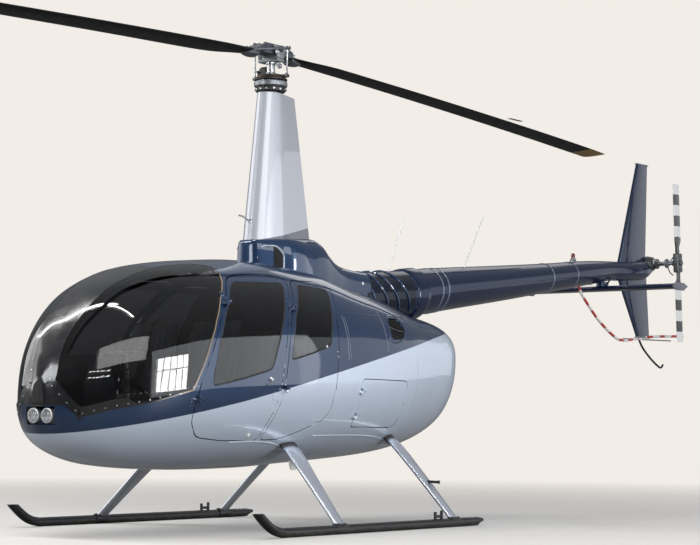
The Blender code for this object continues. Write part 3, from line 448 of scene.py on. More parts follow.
# Doors are stretched and bonded skins on an inner pan, hung on two pins proud of the shell at their
# front edge. The baggage door is the same on the left flank.
DOORS = {"front_door_left": "left_front_door", "front_door_right": "right_front_door",
         "rear_door_left": "left_rear_door", "rear_door_right": "right_rear_door",
         "baggage_door": "baggage_lid"}
for node, body in DOORS.items():
    slot = "silver_blue_paint" if node == "baggage_door" else "dark_blue_paint"
    shaded_by_pod(piece(laid_on_pod(node), node + "_skin", body, body_paint, lining, body_paint, slot=slot,
                        replaces=node))

# The glazing is smoked acrylic: two windshields either side of a black bow, and a pane bedded in a
# black rubber surround in each door.
smoked, tree, shader = finish_of("smoked_acrylic", (0.30, 0.30, 0.31), 0.02, IOR=1.45,
                                 Transmission_Weight=1.0)
haze = ramp(tree, speckle(tree, 3.0, 6.0), 0.3, 0.8, 0.26, 0.34)
feed(tree, shader, "Base Color", add(tree, "CombineColor", (0, haze), (1, haze), (2, haze)))
bumped(tree, shader, speckle(tree, 2.4, 1.0), 0.05, 0.002)
rubber = worn("window_rubber", (0.010, 0.010, 0.011), (0.018, 0.018, 0.019), 0.45, scale=60.0)
gloss_black = worn("bow_black", (0.008, 0.008, 0.009), (0.012, 0.012, 0.013), 0.22, scale=20.0, bump=0.03,
                   Coat_Weight=0.5)
shaded_by_pod(piece(laid_on_pod("windshield_bow"), "windshield_bow_strip", "airframe", gloss_black, lining,
                    gloss_black, slot="black_paint", replaces="windshield_bow"))


OUTLINE_STEP = 0.012


def in_order(edges):
    """The vertices of a closed line of edges, one after another."""
    beside = {}
    for e in edges:
        for a, b in (e.verts, reversed(e.verts)):
            beside.setdefault(a, []).append(b)
    start = edges[0].verts[0]
    loop, last, here = [start], start, beside[start][0]
    while here is not start:
        loop.append(here)
        last, here = here, next(v for v in beside[here] if v is not last)
    return loop


def outline_of(bm):
    """The boundary of an open sheet, in order, at even steps."""
    loop = in_order([e for e in bm.edges if e.is_boundary])
    points = np.array([v.co for v in loop + loop[:1]])
    run = np.concatenate(([0], np.cumsum(np.linalg.norm(np.diff(points, axis=0), axis=1))))
    steps = np.linspace(0, run[-1], int(run[-1] / OUTLINE_STEP), endpoint=False)
    return np.stack([np.interp(steps, run, points[:, c]) for c in range(3)], 1)


def along_pod(path, profile, closed=False, bm=None, widths=None):
    """A strip along a path on the pod, from (across, out) pairs. Across points inwards on a loop."""
    path = np.array(path)
    ahead = np.roll(path, -1, 0) - np.roll(path, 1, 0)
    if not closed:
        ahead[0], ahead[-1] = path[1] - path[0], path[-1] - path[-2]
    normals = pod_normals(path)
    across = np.cross(normals, ahead)
    across /= np.linalg.norm(across, axis=1, keepdims=True)
    if closed and (across * (path.mean(0) - path)).sum() < 0:
        across = -across
    widths = np.ones(len(path)) if widths is None else widths
    rows = [[p + a * u * w + n * h for u, h in profile] for p, a, n, w in zip(path, across, normals, widths)]
    return skinned(rows, bm, round_again=closed)


SURROUND_STRIP = ((0.008, 0.0005), (0.004, 0.0025), (0.0, 0.0035), (-0.002, 0.0045), (-0.003, 0.0035),
                  (-0.001, -0.002), (0.008, -0.002))
SEAL_LINE = ((0.010, 0.0006), (0.006, 0.0016), (0.001, 0.0016), (0.0, -0.001), (0.010, -0.001))
tan_seal = worn("tan_sealant", (0.33, 0.23, 0.13), (0.26, 0.18, 0.10), 0.5, scale=50.0)
WINDOWS = {  # node: body, depth under the pod's face
    "windshield_left": ("airframe", 0.0), "windshield_right": ("airframe", 0.0),
    "front_door_window_left": ("left_front_door", 0.004),
    "front_door_window_right": ("right_front_door", 0.004),
    "rear_door_window_left": ("left_rear_door", 0.004),
    "rear_door_window_right": ("right_rear_door", 0.004),
}
outlines = {}
for node, (body, depth) in WINDOWS.items():
    bm = laid_on_pod(node, depth)
    bmesh.ops.delete(bm, geom=[f for f in bm.faces if f.material_index != OUTER], context="FACES")
    bmesh.ops.delete(bm, geom=[v for v in bm.verts if not v.link_faces], context="VERTS")
    outlines[node] = outline_of(bm)
    bmesh.ops.solidify(bm, geom=bm.faces[:], thickness=0.005)
    bmesh.ops.recalc_face_normals(bm, faces=bm.faces)
    shaded_by_pod(piece(bm, node + "_pane", body, smoked, slot="window_glass", replaces=node),
                  inside_too=True)
    if depth:
        strip = along_pod(outlines[node], SURROUND_STRIP, closed=True)
        piece(strip, node + "_surround", body, rubber, slot="black_paint")
        continue
    # The windshield's black edge is broad at its front lower corner and narrow along the door post.
    path = outlines[node]
    broad = np.clip((-1.93 - path[:, 1]) / 0.05, 0, 1) * np.clip((1.50 - path[:, 2]) / 0.45, 0, 1)
    inner = np.where(path[:, 1] < -1.20, 0.006 + 0.050 * broad + 0.006 * (path[:, 2] > 1.0), 0.006)
    piece(along_pod(path, [(1.0, 0.0010), (0.0, 0.0016), (0.0, -0.001), (1.0, -0.001)], closed=True,
                    widths=inner + 0.004), node + "_surround", body, gloss_black, slot="black_paint")
    # Pale brown sealant shows along the lower edge aft of the corner and up the door post.
    tan = np.array([(p[2] < 1.0 and p[1] > -2.00) or (p[1] > -1.10 and p[2] < 1.70)
                    or (p[2] >= 1.0 and p[2] < 1.70 and p[1] > -1.40 and p[1] > -1.02 - 0.9 * (p[2] - 1.0))
                    for p in path])
    first = next(k for k in range(len(tan)) if tan[k] and not tan[k - 1])
    run = [path[(first + k) % len(path)] for k in range(int(tan.sum()))]
    middle = path.mean(0)
    turn = np.cross(pod_normals(np.array([run[0]]))[0], run[1] - run[0]).dot(middle - run[0])
    profile = [(u * (1 if turn > 0 else -1), h) for u, h in SEAL_LINE]
    piece(along_pod(run, profile), node + "_seal", body, tan_seal, slot="black_paint")

# Two clear landing lights sit side by side in the nose, behind the shell's own opening. Each is a pale
# dish in a bright bezel under a fluted glass, fixed to a plate in the body's paint.
bright = worn("reflector", (0.92, 0.92, 0.90), (0.80, 0.80, 0.80), 0.38, 0.75, scale=90.0, bump=0.25,
              spread=0.05)
clear, tree, shader = finish_of("lamp_glass", (0.97, 0.98, 1.0), 0.02, IOR=1.5, Transmission_Weight=1.0)
bumped(tree, shader, add(tree, "TexWave", ("Vector", spot_of(tree)), ("Scale", 60.0)), 0.15)
satin_black = worn("satin_black", (0.012, 0.012, 0.013), (0.022, 0.022, 0.024), 0.42, scale=40.0)


AXES = {"Z": Matrix(), "X": Matrix.Rotation(math.pi / 2, 4, "Y"), "Y": Matrix.Rotation(-math.pi / 2, 4, "X")}


def turned(profile, place=(0, 0, 0), axis="Z", steps=32, bm=None):
    """Spins a profile of (radius, height) pairs once round an axis through a place."""
    fresh = bmesh.new()
    verts = [fresh.verts.new((r, 0, h)) for r, h in profile]
    edges = [fresh.edges.new(pair) for pair in zip(verts, verts[1:])]
    bmesh.ops.spin(fresh, geom=verts + edges, cent=(0, 0, 0), axis=(0, 0, 1), angle=2 * math.pi, steps=steps,
                   use_merge=True)
    bmesh.ops.remove_doubles(fresh, verts=fresh.verts, dist=1e-6)
    bmesh.ops.recalc_face_normals(fresh, faces=fresh.faces)
    turn = axis if isinstance(axis, Matrix) else AXES[axis]
    bmesh.ops.transform(fresh, matrix=Matrix.Translation(place) @ turn, verts=fresh.verts)
    return joined(fresh, bm)


def joined(fresh, bm):
    """Adds one mesh to another."""
    if bm is None:
        return fresh
    holder = bpy.data.meshes.new("part")
    fresh.to_mesh(holder)
    fresh.free()
    bm.from_mesh(holder)
    bpy.data.meshes.remove(holder)
    return bm


def block(x, y, z, round_by=0.0, bm=None, segments=3):
    """A box between pairs of limits, with rounded edges."""
    fresh = bmesh.new()
    bmesh.ops.create_cube(fresh, size=1)
    span, centre = ([b - a for a, b in (x, y, z)], [(a + b) / 2 for a, b in (x, y, z)])
    bmesh.ops.scale(fresh, vec=span, verts=fresh.verts)
    bmesh.ops.translate(fresh, vec=centre, verts=fresh.verts)
    if round_by:
        bmesh.ops.bevel(fresh, geom=fresh.edges[:], offset=round_by, offset_type="OFFSET", segments=segments,
                        profile=0.5, affect="EDGES", material=-1)
    return joined(fresh, bm)


SIDES = ((1, "left"), (-1, "right"))
LAMP = (0.058, -2.2625, 0.757)
lamp_white = worn("lamp_dish", (0.86, 0.86, 0.84), (0.55, 0.55, 0.56), 0.5, 0.1, scale=120.0, bump=0.4)
forward = Matrix.Rotation(math.pi / 2, 4, "X")
piece(block((-0.116, 0.116), (-2.260, -2.256), (0.703, 0.795), 0.0015, segments=2), "lamp_plate", "airframe",
      blue_paint, slot="dark_blue_paint")
for side, label in SIDES:
    place = (side * LAMP[0], *LAMP[1:])
    piece(turned(((0.0, 0.001), (0.016, 0.002), (0.034, 0.010), (0.041, 0.021), (0.043, 0.021),
                  (0.043, -0.002), (0.0, -0.002)), place, forward), f"lamp_reflector_{label}", "airframe",
          lamp_white, slot="bare_steel", replaces="landing_light" if side > 0 else (), angle=20)
    piece(turned(((0.0, 0.030), (0.020, 0.028), (0.034, 0.023), (0.040, 0.019), (0.040, 0.0165),
                  (0.0, 0.0165)), place, forward), f"lamp_glass_{label}", "airframe", clear,
          slot="window_glass")
    piece(turned(((0.040, 0.020), (0.042, 0.025), (0.047, 0.024), (0.049, 0.0), (0.040, 0.0), (0.040, 0.020)),
                 place, forward), f"lamp_bezel_{label}", "airframe", bright, slot="bare_steel")

# The mast cowl is a moulded fairing on the roof with an air inlet each side. On it stands the mast
# fairing, a tapered teardrop sheet that wraps the gearbox tube, dark blue at its foot.
MAST_COWL = np.array((  # y, half width, top z less the sloping roof plane, the arch's power
    (-0.266, 0.050, -0.030, 9), (-0.258, 0.076, -0.010, 9), (-0.246, 0.092, 0.0, 9),
    (-0.21, 0.117, 0.0, 9), (-0.15, 0.156, 0.0, 9), (-0.08, 0.204, 0.0, 8),
    (0.0, 0.256, 0.0, 7), (0.08, 0.272, 0.0, 6), (0.2, 0.275, 0.0, 5),
    (0.28, 0.268, 0.0, 5), (0.36, 0.258, -0.026, 5), (0.46, 0.240, -0.100, 5),
    (0.58, 0.222, -0.172, 5), (0.68, 0.208, -0.203, 5), (0.80, 0.20, -0.226, 5),
    (1.0, 0.195, -0.252, 5)))
ROOF_PLANE = (2.036, 0.081)


def filled(table, step):
    """A table's rows at even steps of its first column, by a steady cubic."""
    x = table[:, 0]
    at = np.unique(np.concatenate((np.arange(x[0], x[-1], step), x)))
    columns = [at]
    for c in range(1, table.shape[1]):
        slopes = steady_slopes(x, table[:, c])
        k = np.clip(np.searchsorted(x, at) - 1, 0, len(x) - 2)
        h = x[k + 1] - x[k]
        t = (at - x[k]) / h
        columns.append(table[k, c] * (1 + 2 * t) * (1 - t) ** 2 + table[k + 1, c] * t * t * (3 - 2 * t)
                       + h * (slopes[k] * t * (1 - t) ** 2 - slopes[k + 1] * t * t * (1 - t)))
    return np.stack(columns, 1)


def curved(points, steps=8):
    """A smooth row of points through the given ones."""
    p = np.array(points, float)
    p = np.vstack((2 * p[0] - p[1], p, 2 * p[-1] - p[-2]))
    out = []
    for a, b, c, d in zip(p, p[1:], p[2:], p[3:]):
        for t in np.arange(steps) / steps:
            out.append(0.5 * (2 * b + (c - a) * t + (2 * a - 5 * b + 4 * c - d) * t ** 2
                              + (3 * b - a - 3 * c + d) * t ** 3))
    return np.array(out + [p[-2]])


def tube(points, radius=None, sides=14, steps=8, bm=None):
    """A round bar along a smooth path. A fourth number at a point is the radius there."""
    path = curved(points, steps)
    sizes = path[:, 3] if path.shape[1] > 3 else np.full(len(path), radius)
    path = path[:, :3]
    ahead = np.gradient(path, axis=0)
    ahead /= np.linalg.norm(ahead, axis=1, keepdims=True)
    up = np.cross(ahead[0], (0.36, 0.48, 0.8))
    rows = []
    for p, run, size in zip(path, ahead, sizes):
        up = up - run * up.dot(run)
        up /= np.linalg.norm(up)
        beside = np.cross(run, up)
        rows.append([p + size * (math.cos(a) * up + math.sin(a) * beside)
                     for a in (2 * math.pi * k / sides for k in range(sides))])
    return skinned(rows, bm)


COWL_FOOT = 1.60


def cowl_row(y):
    """Half width, top, power and the height where the roof meets the cowl, at a station."""
    half, drop, power = (np.interp(y, COWL_ROWS[:, 0], COWL_ROWS[:, c]) for c in (1, 2, 3))
    low, high, wide, widest = pod_at(np.array(y))
    roof = widest + (high - widest) * (1 - (half / wide) ** POD_UPPER) ** (1 / POD_UPPER)
    return half, ROOF_PLANE[0] + ROOF_PLANE[1] * y + drop, power, roof


def cowl_side(y, z, side=1, out=0.0):
    """A point of the cowl's flank."""
    def at(y, z):
        half, top, power, _ = cowl_row(y)
        return half * max(0.0, 1 - max(0.0, (z - COWL_FOOT) / (top - COWL_FOOT)) ** power) ** (1 / power)
    x = at(y, z)
    normal = Vector((1, (at(y - 0.002, z) - at(y + 0.002, z)) / 0.004,
                     (at(y, z - 0.002) - at(y, z + 0.002)) / 0.004))
    p = Vector((x, y, z)) + normal.normalized() * out
    return Vector((p.x * side, p.y, p.z))


COWL_ROWS = filled(MAST_COWL, 0.02)
rows = []
for y in COWL_ROWS[:, 0]:
    half, top, power, roof = cowl_row(y)
    start = math.asin(((roof - 0.014 - COWL_FOOT) / (top - COWL_FOOT)) ** (power / 2))
    turns = np.linspace(start, math.pi - start, 49)
    rows.append([(half * power_of(math.cos(a), 2 / power), y,
                  COWL_FOOT + (top - COWL_FOOT) * math.sin(a) ** (2 / power)) for a in turns])
piece(skinned(rows), "mast_cowl_shell", "airframe", blue_paint, slot="dark_blue_paint",
      replaces="mast_cowl", angle=50)
# The inlet's rolled lip is painted pale silver, as a painted highlight.
lip_highlight_paint = worn("lip_highlight_lacquer", (0.34, 0.38, 0.44), (0.42, 0.46, 0.52), 0.3, 0.3, scale=30.0, Coat_Weight=0.6)
# The inlet's mouth is painted shade: a near-black sheet laid over the cowl.
mouth_shade = worn("painted_mouth_shade", (0.004, 0.004, 0.005), (0.008, 0.008, 0.009), 0.8)
INLET_SILL, INLET_HEIGHT, INLET_COLUMNS, DARK_FROM = 1.822, 0.150, 17, 9
for side, label in SIDES:
    # The cooling air's inlet is an arch on the cowl's shoulder, edged by a rolled lip painted pale as a
    # highlight. Its mouth is the arch's rear half.
    plan = np.linspace(-0.225, -0.085, INLET_COLUMNS)
    crest = [INLET_SILL + INLET_HEIGHT * min(1.0, 0.90 + 0.6 * t) * (1 - max(0.0, t - 0.55) ** 2.2 * 2.6)
             for t in np.linspace(0, 1, INLET_COLUMNS)]
    grid = [[cowl_side(y, INLET_SILL + (top - INLET_SILL) * t, side, 0.0015) for t in np.linspace(0, 1, 9)]
            for y, top in zip(plan, crest)]
    # The mouth is a thin near-black sheet on the cowl's face, painted shade for the opening.
    mouth = skinned(grid[DARK_FROM:], closed=False)
    bmesh.ops.solidify(mouth, geom=mouth.faces[:], thickness=0.001)
    piece(mouth, f"cowl_inlet_{label}", "airframe", mouth_shade, slot="black_paint")
    edge = [row[-1] for row in grid] + [grid[-1][5], grid[-1][0]]
    piece(tube([tuple(p) for p in edge], 0.006, 10, 3), f"cowl_inlet_lip_{label}", "airframe", lip_highlight_paint,
          slot="silver_blue_paint")
# The fairing's foot and tip: z, leading y, trailing y, half width at the mast, half width at the tail.
FAIRING = ((2.00, -0.245, 0.470, 0.1420, 0.018), (3.09, -0.112, 0.266, 0.085, 0.012))
fairing_paint = automotive("fairing_paint", (0.212, 2.204), silver_over=True, silver=(0.50, 0.52, 0.57),
                           dark=(0.085, 0.092, 0.115))


def fairing_ring(z, lead, trail, half, tail, steps=40):
    nose = [(-half * math.cos(math.pi * k / steps), lead * math.sin(math.pi * k / steps))
            for k in range(steps + 1)]
    flank = [((half + (tail - half) * t), trail * t) for t in (0.25, 0.5, 0.75)]
    return [(x, y, z) for x, y in nose + flank + [(tail, trail), (-tail, trail)]
            + [(-x, y) for x, y in reversed(flank)]]


low, high = (np.array(row) for row in FAIRING)
bm = skinned([fairing_ring(*(low + (high - low) * t)) for t in np.linspace(0, 1, 24)])
plane = Vector((0, -ROOF_PLANE[1], 1)).normalized()
bmesh.ops.bisect_plane(bm, geom=bm.verts[:] + bm.edges[:] + bm.faces[:],
                       plane_co=(0, 0, ROOF_PLANE[0] - 0.004), plane_no=plane, clear_inner=True)
bmesh.ops.recalc_face_normals(bm, faces=bm.faces)
piece(bm, "mast_fairing_shell", "airframe", fairing_paint, slot="silver_blue_paint",
      replaces="mast_fairing", angle=50)

# The boom is a tapered aluminium tube, rolled in bays and riveted, that starts in a moulded root cowl
# with curved ribs and a collar.
# Hoops of the root cowl and the boom: y, z of the middle, radius.
BOOM_ROOT = np.array(((0.96, 1.662, 0.200), (1.3, 1.698, 0.197), (1.645, 1.731, 0.195), (1.655, 1.732, 0.205),
                      (1.665, 1.734, 0.207), (1.80, 1.751, 0.207), (1.81, 1.752, 0.200)))
BOOM = np.array(((1.8103, 1.760, 0.188), (2.18, 1.807, 0.177), (3.168, 1.923, 0.150), (4.04, 2.031, 0.1255),
                 (4.49, 2.089, 0.1155), (4.80, 2.126, 0.104), (5.10, 2.158, 0.090), (5.30, 2.168, 0.089),
                 (5.70, 2.200, 0.090), (5.80, 2.212, 0.070)))


def hoop(y, z, radius, sides=64):
    return [(radius * math.cos(2 * math.pi * k / sides), y, z + radius * math.sin(2 * math.pi * k / sides))
            for k in range(sides)]


# The root cowl ahead of its collar takes a near-black copy of the blue, painted shade between the ribs.
root_shade = automotive("root_shade", dark=(0.005, 0.009, 0.020), lacquer=0.4)
# The boom, its collar, its rivets and the stabilizer take a darker copy of the blue, as painted shade.
tail_shaded_paint = automotive("tail_shaded_paint", dark=(0.008, 0.017, 0.048), lacquer=0.55)
root = skinned([hoop(*row) for row in filled(BOOM_ROOT, 0.05)])
for face in root.faces:
    face.material_index = int(face.calc_center_median().y < 1.60)
piece(root, "boom_root_shell", "airframe", tail_shaded_paint, root_shade, slot="dark_blue_paint",
      replaces="boom_root_cowl")
piece(skinned([hoop(*row) for row in filled(BOOM, 0.08)]), "tailboom_tube", "airframe", tail_shaded_paint,
      slot="dark_blue_paint", replaces="tailboom")

# A short steel tailpipe turns the turbine's exhaust down and aft through the shell. Its end has a rolled
# rim, and heat has browned the metal.
def facing(direction):
    """The turn that points a fitting's own z along a direction."""
    return Vector(direction).to_track_quat("Z", "Y").to_matrix().to_4x4()


burnt = worn("burnt_steel", (0.16, 0.13, 0.11), (0.05, 0.045, 0.05), 0.38, 0.9, scale=18.0, bump=0.2)
start, end = Vector((0, 1.77, 0.955)), Vector((0, 2.015, 0.770))
length = (end - start).length
pipe = turned(((0.0, 0.03), (0.082, 0.03), (0.082, length - 0.004), (0.084, length), (0.088, length),
               (0.090, length - 0.004), (0.090, 0.0), (0.0, 0.0)), start,
              facing(end - start), 48)
piece(pipe, "exhaust_tailpipe", "airframe", burnt, slot="engine_metal", replaces="exhaust_pipe")

# The fins and the stabilizer are riveted aluminium aerofoils. The stabilizer hangs under the boom on
# a bracket, the fins stand on its end.
def airfoil(chord, thick, points=19):
    """A symmetric section from its trailing edge over the top and back: (distance from the nose, height)."""
    out = []
    for k in range(points):
        f = (1 + math.cos(math.pi * k / (points - 1))) / 2
        height = thick * 5 * (0.2969 * f ** 0.5 - 0.126 * f - 0.3516 * f ** 2
                              + 0.2843 * f ** 3 - 0.1036 * f ** 4)
        out.append((chord * f, height + (0.0008 if k == 0 else 0)))
    return out + [(x, -h) for x, h in reversed(out[:-1])]


fin_paint = automotive("fin_paint", dark=(0.014, 0.024, 0.055), lacquer=0.72)
FINS = {  # node: leading edge y and z, trailing edge y and z, thickness, at both ends
    "upper_fin": ((5.232, 2.18, 5.805, 2.20, 0.055), (5.634, 3.213, 5.859, 3.229, 0.028)),
    "lower_fin": ((5.245, 2.12, 5.830, 2.15, 0.050), (5.621, 1.572, 5.886, 1.582, 0.030)),
}
for node, (foot, tip) in FINS.items():
    rows = []
    for t in np.linspace(0, 1, 12):
        lead_y, lead_z, trail_y, trail_z, thick = np.array(foot) * (1 - t) + np.array(tip) * t
        chord = trail_y - lead_y
        rows.append([(h, lead_y + d, lead_z + (trail_z - lead_z) * d / chord)
                     for d, h in airfoil(chord, thick)])
    piece(skinned(rows), node + "_blade", "airframe", fin_paint, slot="dark_blue_paint", replaces=node,
          angle=45)
STABILIZER_HALF, STABILIZER_CHORD, STABILIZER_THICK = 0.78, 0.30, 0.05
rows = [[(x, 4.82 + d, 1.98 + h) for d, h in airfoil(STABILIZER_CHORD, STABILIZER_THICK)]
        for x in np.linspace(-STABILIZER_HALF, STABILIZER_HALF, 12)]
piece(skinned(rows), "stabilizer_blade", "airframe", tail_shaded_paint, slot="dark_blue_paint",
      replaces="stabilizer", angle=45)


piece(block((-0.03, 0.03), (4.90, 5.03), (1.985, 2.05), 0.004), "stabilizer_bracket", "airframe", blue_paint,
      slot="dark_blue_paint")

# A thin tube guard, banded red and white, keeps people off the tail rotor. A spring skid under the
# lower fin takes a knock from the ground.
GUARD = ((0, 4.50, 2.03), (0, 4.56, 1.93), (0, 4.70, 1.82), (0, 4.918, 1.679), (0, 5.205, 1.552),
         (0, 5.38, 1.530), (0, 5.60, 1.552), (0, 5.76, 1.572), (0.04, 6.0, 1.590), (0.12, 6.36, 1.605))
GUARD_BAND = 0.093
white = worn("white_enamel", (0.78, 0.78, 0.76), (0.70, 0.70, 0.68), 0.35, scale=40.0, Coat_Weight=0.4)
red = worn("red_enamel", (0.55, 0.035, 0.03), (0.45, 0.03, 0.025), 0.35, scale=40.0, Coat_Weight=0.4)
bm = tube(GUARD, 0.0125, steps=24)
path = curved(GUARD, 24)
run = np.concatenate(([0], np.cumsum(np.linalg.norm(np.diff(path, axis=0), axis=1))))
for face in bm.faces:
    at = run[np.argmin(np.linalg.norm(path - np.array(face.calc_center_median()), axis=1))]
    face.material_index = int(at / GUARD_BAND) % 2
piece(bm, "tail_guard_tube", "airframe", red, white, slot="white_paint", replaces="tail_guard")
STINGER = ((0, 5.665, 1.565), (0, 5.76, 1.47), (0, 5.92, 1.375), (0, 6.08, 1.305), (0, 6.14, 1.300),
           (0, 6.17, 1.325))
piece(tube(STINGER, 0.010), "tail_skid_bar", "airframe", satin_black, slot="black_paint",
      replaces="tail_skid")

# The tail gearbox is a cast housing on the boom's end, and its shaft carries the two-blade tail rotor.
# A grey slider on the shaft sets the pitch. The blades are white with dark bands, so the disc is seen.
TAIL = np.array((0.314, 5.869, 2.274))
cast = worn("cast_grey", (0.10, 0.105, 0.11), (0.15, 0.155, 0.16), 0.45, 0.7, scale=35.0, bump=0.35)
plate_grey = worn("anodised_grey", (0.21, 0.23, 0.25), (0.28, 0.30, 0.32), 0.36, 0.6, scale=50.0, bump=0.12)
steel = worn("machined_steel", (0.55, 0.56, 0.57), (0.45, 0.46, 0.47), 0.28, 1.0, scale=60.0, bump=0.08)
box = turned(((0.0, -0.075), (0.045, -0.075), (0.066, -0.058), (0.070, -0.055), (0.078, 0.0), (0.066, 0.05),
              (0.042, 0.075), (0.040, 0.105), (0.0, 0.105)), (0, *TAIL[1:]), "X", 48)
for k in range(4):
    turned(((0.041, 0.0), (0.047, 0.002), (0.047, 0.004), (0.041, 0.006)), (0.080 + 0.007 * k, *TAIL[1:]),
           "X", 40, box)
turned(((0.058, -0.15), (0.058, -0.02), (0.050, 0.0), (0.0, 0.0)), (0, TAIL[1], 2.225), "Y", 48, box)
piece(box, "tail_gearbox_housing", "airframe", cast, slot="engine_metal", replaces="tail_gearbox",
      bevel=0.002)
output = turned(((0.0, 0.10), (0.022, 0.10), (0.022, 0.165), (0.018, 0.17), (0.018, 0.262), (0.0, 0.262)),
                (0, *TAIL[1:]), "X", 32)
tube([(0.10, TAIL[1] - 0.075, TAIL[2] + 0.02), (0.16, TAIL[1] - 0.060, TAIL[2] + 0.01),
      (0.205, TAIL[1] - 0.035, TAIL[2])], 0.008, 12, 4, output)
block((0.085, 0.105), (TAIL[1] - 0.085, TAIL[1] - 0.04), (TAIL[2] - 0.01, TAIL[2] + 0.035), 0.004, output)
piece(output, "tail_output_shaft", "airframe", steel, slot="bare_steel")
slider = turned(((0.019, -0.014), (0.040, -0.014), (0.044, -0.010), (0.044, 0.002), (0.034, 0.006),
                 (0.030, 0.014), (0.019, 0.014), (0.019, -0.014)), (0.205, *TAIL[1:]), "X", 40)
for way in (-1, 1):
    tube([(0.214, TAIL[1] + way * 0.030, TAIL[2] + way * 0.012),
          (0.262, TAIL[1] + way * 0.060, TAIL[2] + way * 0.090),
          (0.300, TAIL[1] + way * 0.066, TAIL[2] + way * 0.120)], 0.006, 10, 4, slider)
piece(slider, "tail_pitch_slider", "tail_rotor", plate_grey, slot="engine_metal")
tail_turn = (Matrix.Translation(TAIL) @ Matrix.Rotation(math.radians(3.8), 4, "X")
             @ Matrix.Translation(-Vector(TAIL)))
hub = block((0.288, 0.340), (5.819, 5.919), (2.184, 2.364), 0.010)
turned(((0.026, -0.052), (0.026, 0.040), (0.022, 0.045), (0.0, 0.045)), TAIL, "X", 32, hub)
for way in (-1, 1):
    for y in (-0.025, 0.025):
        turned(((0.007, 0.0), (0.007, 0.006), (0.0, 0.007)), (0.340, TAIL[1] + y, TAIL[2] + way * 0.062),
               "X", 6, hub)
piece(hub, "tail_hub_fork", "tail_rotor", cast, slot="engine_metal", replaces="tail_rotor_hub",
      turn=tail_turn)
banded, tree, shader = finish_of("banded_enamel", (0.75, 0.75, 0.74), 0.35, Coat_Weight=0.4)
centre = Vector(TAIL) + MAST
from_hub = add(tree, "VectorMath", (0, add(tree, "VectorMath", (0, spot_of(tree)), (1, centre),
                                           operation="SUBTRACT")), operation="LENGTH").node.outputs["Value"]
BAND = 0.1
along_blade = sums(tree, sums(tree, from_hub, "SUBTRACT", BAND / 2), "MODULO", 2 * BAND)
band = sums(tree, along_blade, "GREATER_THAN", BAND)
stripes = mixed(tree, band, (0.72, 0.72, 0.71), (0.014, 0.015, 0.017))
rooted = mixed(tree, sums(tree, from_hub, "GREATER_THAN", 0.25), (0.02, 0.02, 0.021), stripes)
feed(tree, shader, "Base Color", mixed(tree, ramp(tree, speckle(tree, 25.0, 5.0), 0.55, 0.8, 0.0, 0.25),
                                       rooted, (0.35, 0.34, 0.33)))
bumped(tree, shader, speckle(tree, 200.0), 0.05)
# Stations of a tail blade: distance from the hub's axis, chord, thickness.
TAIL_BLADE = np.array(((0.0905, 0.060, 0.034), (0.15, 0.064, 0.032), (0.21, 0.127, 0.018),
                       (0.735, 0.127, 0.015), (0.745, 0.118, 0.010)))
for node, way in (("tail_blade_upper", 1), ("tail_blade_lower", -1)):
    rows = [[(TAIL[0] + h, TAIL[1] + way * (d - 0.4 * chord), TAIL[2] + way * reach)
             for d, h in airfoil(chord, thick)] for reach, chord, thick in filled(TAIL_BLADE, 0.03)]
    piece(skinned(rows), node + "_skin", "tail_rotor", banded, slot="white_paint", replaces=node, angle=45,
          turn=tail_turn)

# The swashplate, the shaft with its driving links and the teetering hub are machined and cast metal,
# stacked on the mast tube that shows above the fairing. The rotor rests two degrees off the keel.
bronze = worn("bronze_ring", (0.30, 0.17, 0.07), (0.20, 0.12, 0.06), 0.35, 0.9, scale=70.0, bump=0.2)
TEETER_Z, REST_TURN, REST_TEETER, LINK_REACH = 3.41, 2.0, 0.96, 0.142
mast_turn = Matrix.Rotation(math.radians(REST_TURN), 4, "Z")
teeter_turn = (Matrix.Translation((0, 0, TEETER_Z)) @ mast_turn
               @ Matrix.Rotation(math.radians(REST_TEETER), 4, "X")
               @ Matrix.Translation((0, 0, -TEETER_Z)))


def cut_plate(points, low, high, bm=None, round_by=0.002):
    """A plate sawn to an outline of (y, z) points, between two x planes, with its edges eased."""
    fresh = bmesh.new()
    face = fresh.faces.new([fresh.verts.new((low, y, z)) for y, z in points])
    made = bmesh.ops.extrude_face_region(fresh, geom=[face])["geom"]
    moved = [v for v in made if isinstance(v, bmesh.types.BMVert)]
    bmesh.ops.translate(fresh, vec=(high - low, 0, 0), verts=moved)
    bmesh.ops.recalc_face_normals(fresh, faces=fresh.faces)
    bmesh.ops.bevel(fresh, geom=fresh.edges[:], offset=round_by, offset_type="OFFSET", segments=2,
                    profile=0.5, affect="EDGES", material=-1)
    return joined(fresh, bm)


def bolted(bm, places, radius, height, axis="Z"):
    for place in places:
        turned(((0.0, 0.0), (radius, 0.0), (radius, height * 0.8), (radius * 0.8, height), (0.0, height)),
               place, axis, 6, bm)
    return bm


def ringed(count, radius, z, start=0.0):
    return [(radius * math.cos(start + 2 * math.pi * k / count),
             radius * math.sin(start + 2 * math.pi * k / count), z) for k in range(count)]


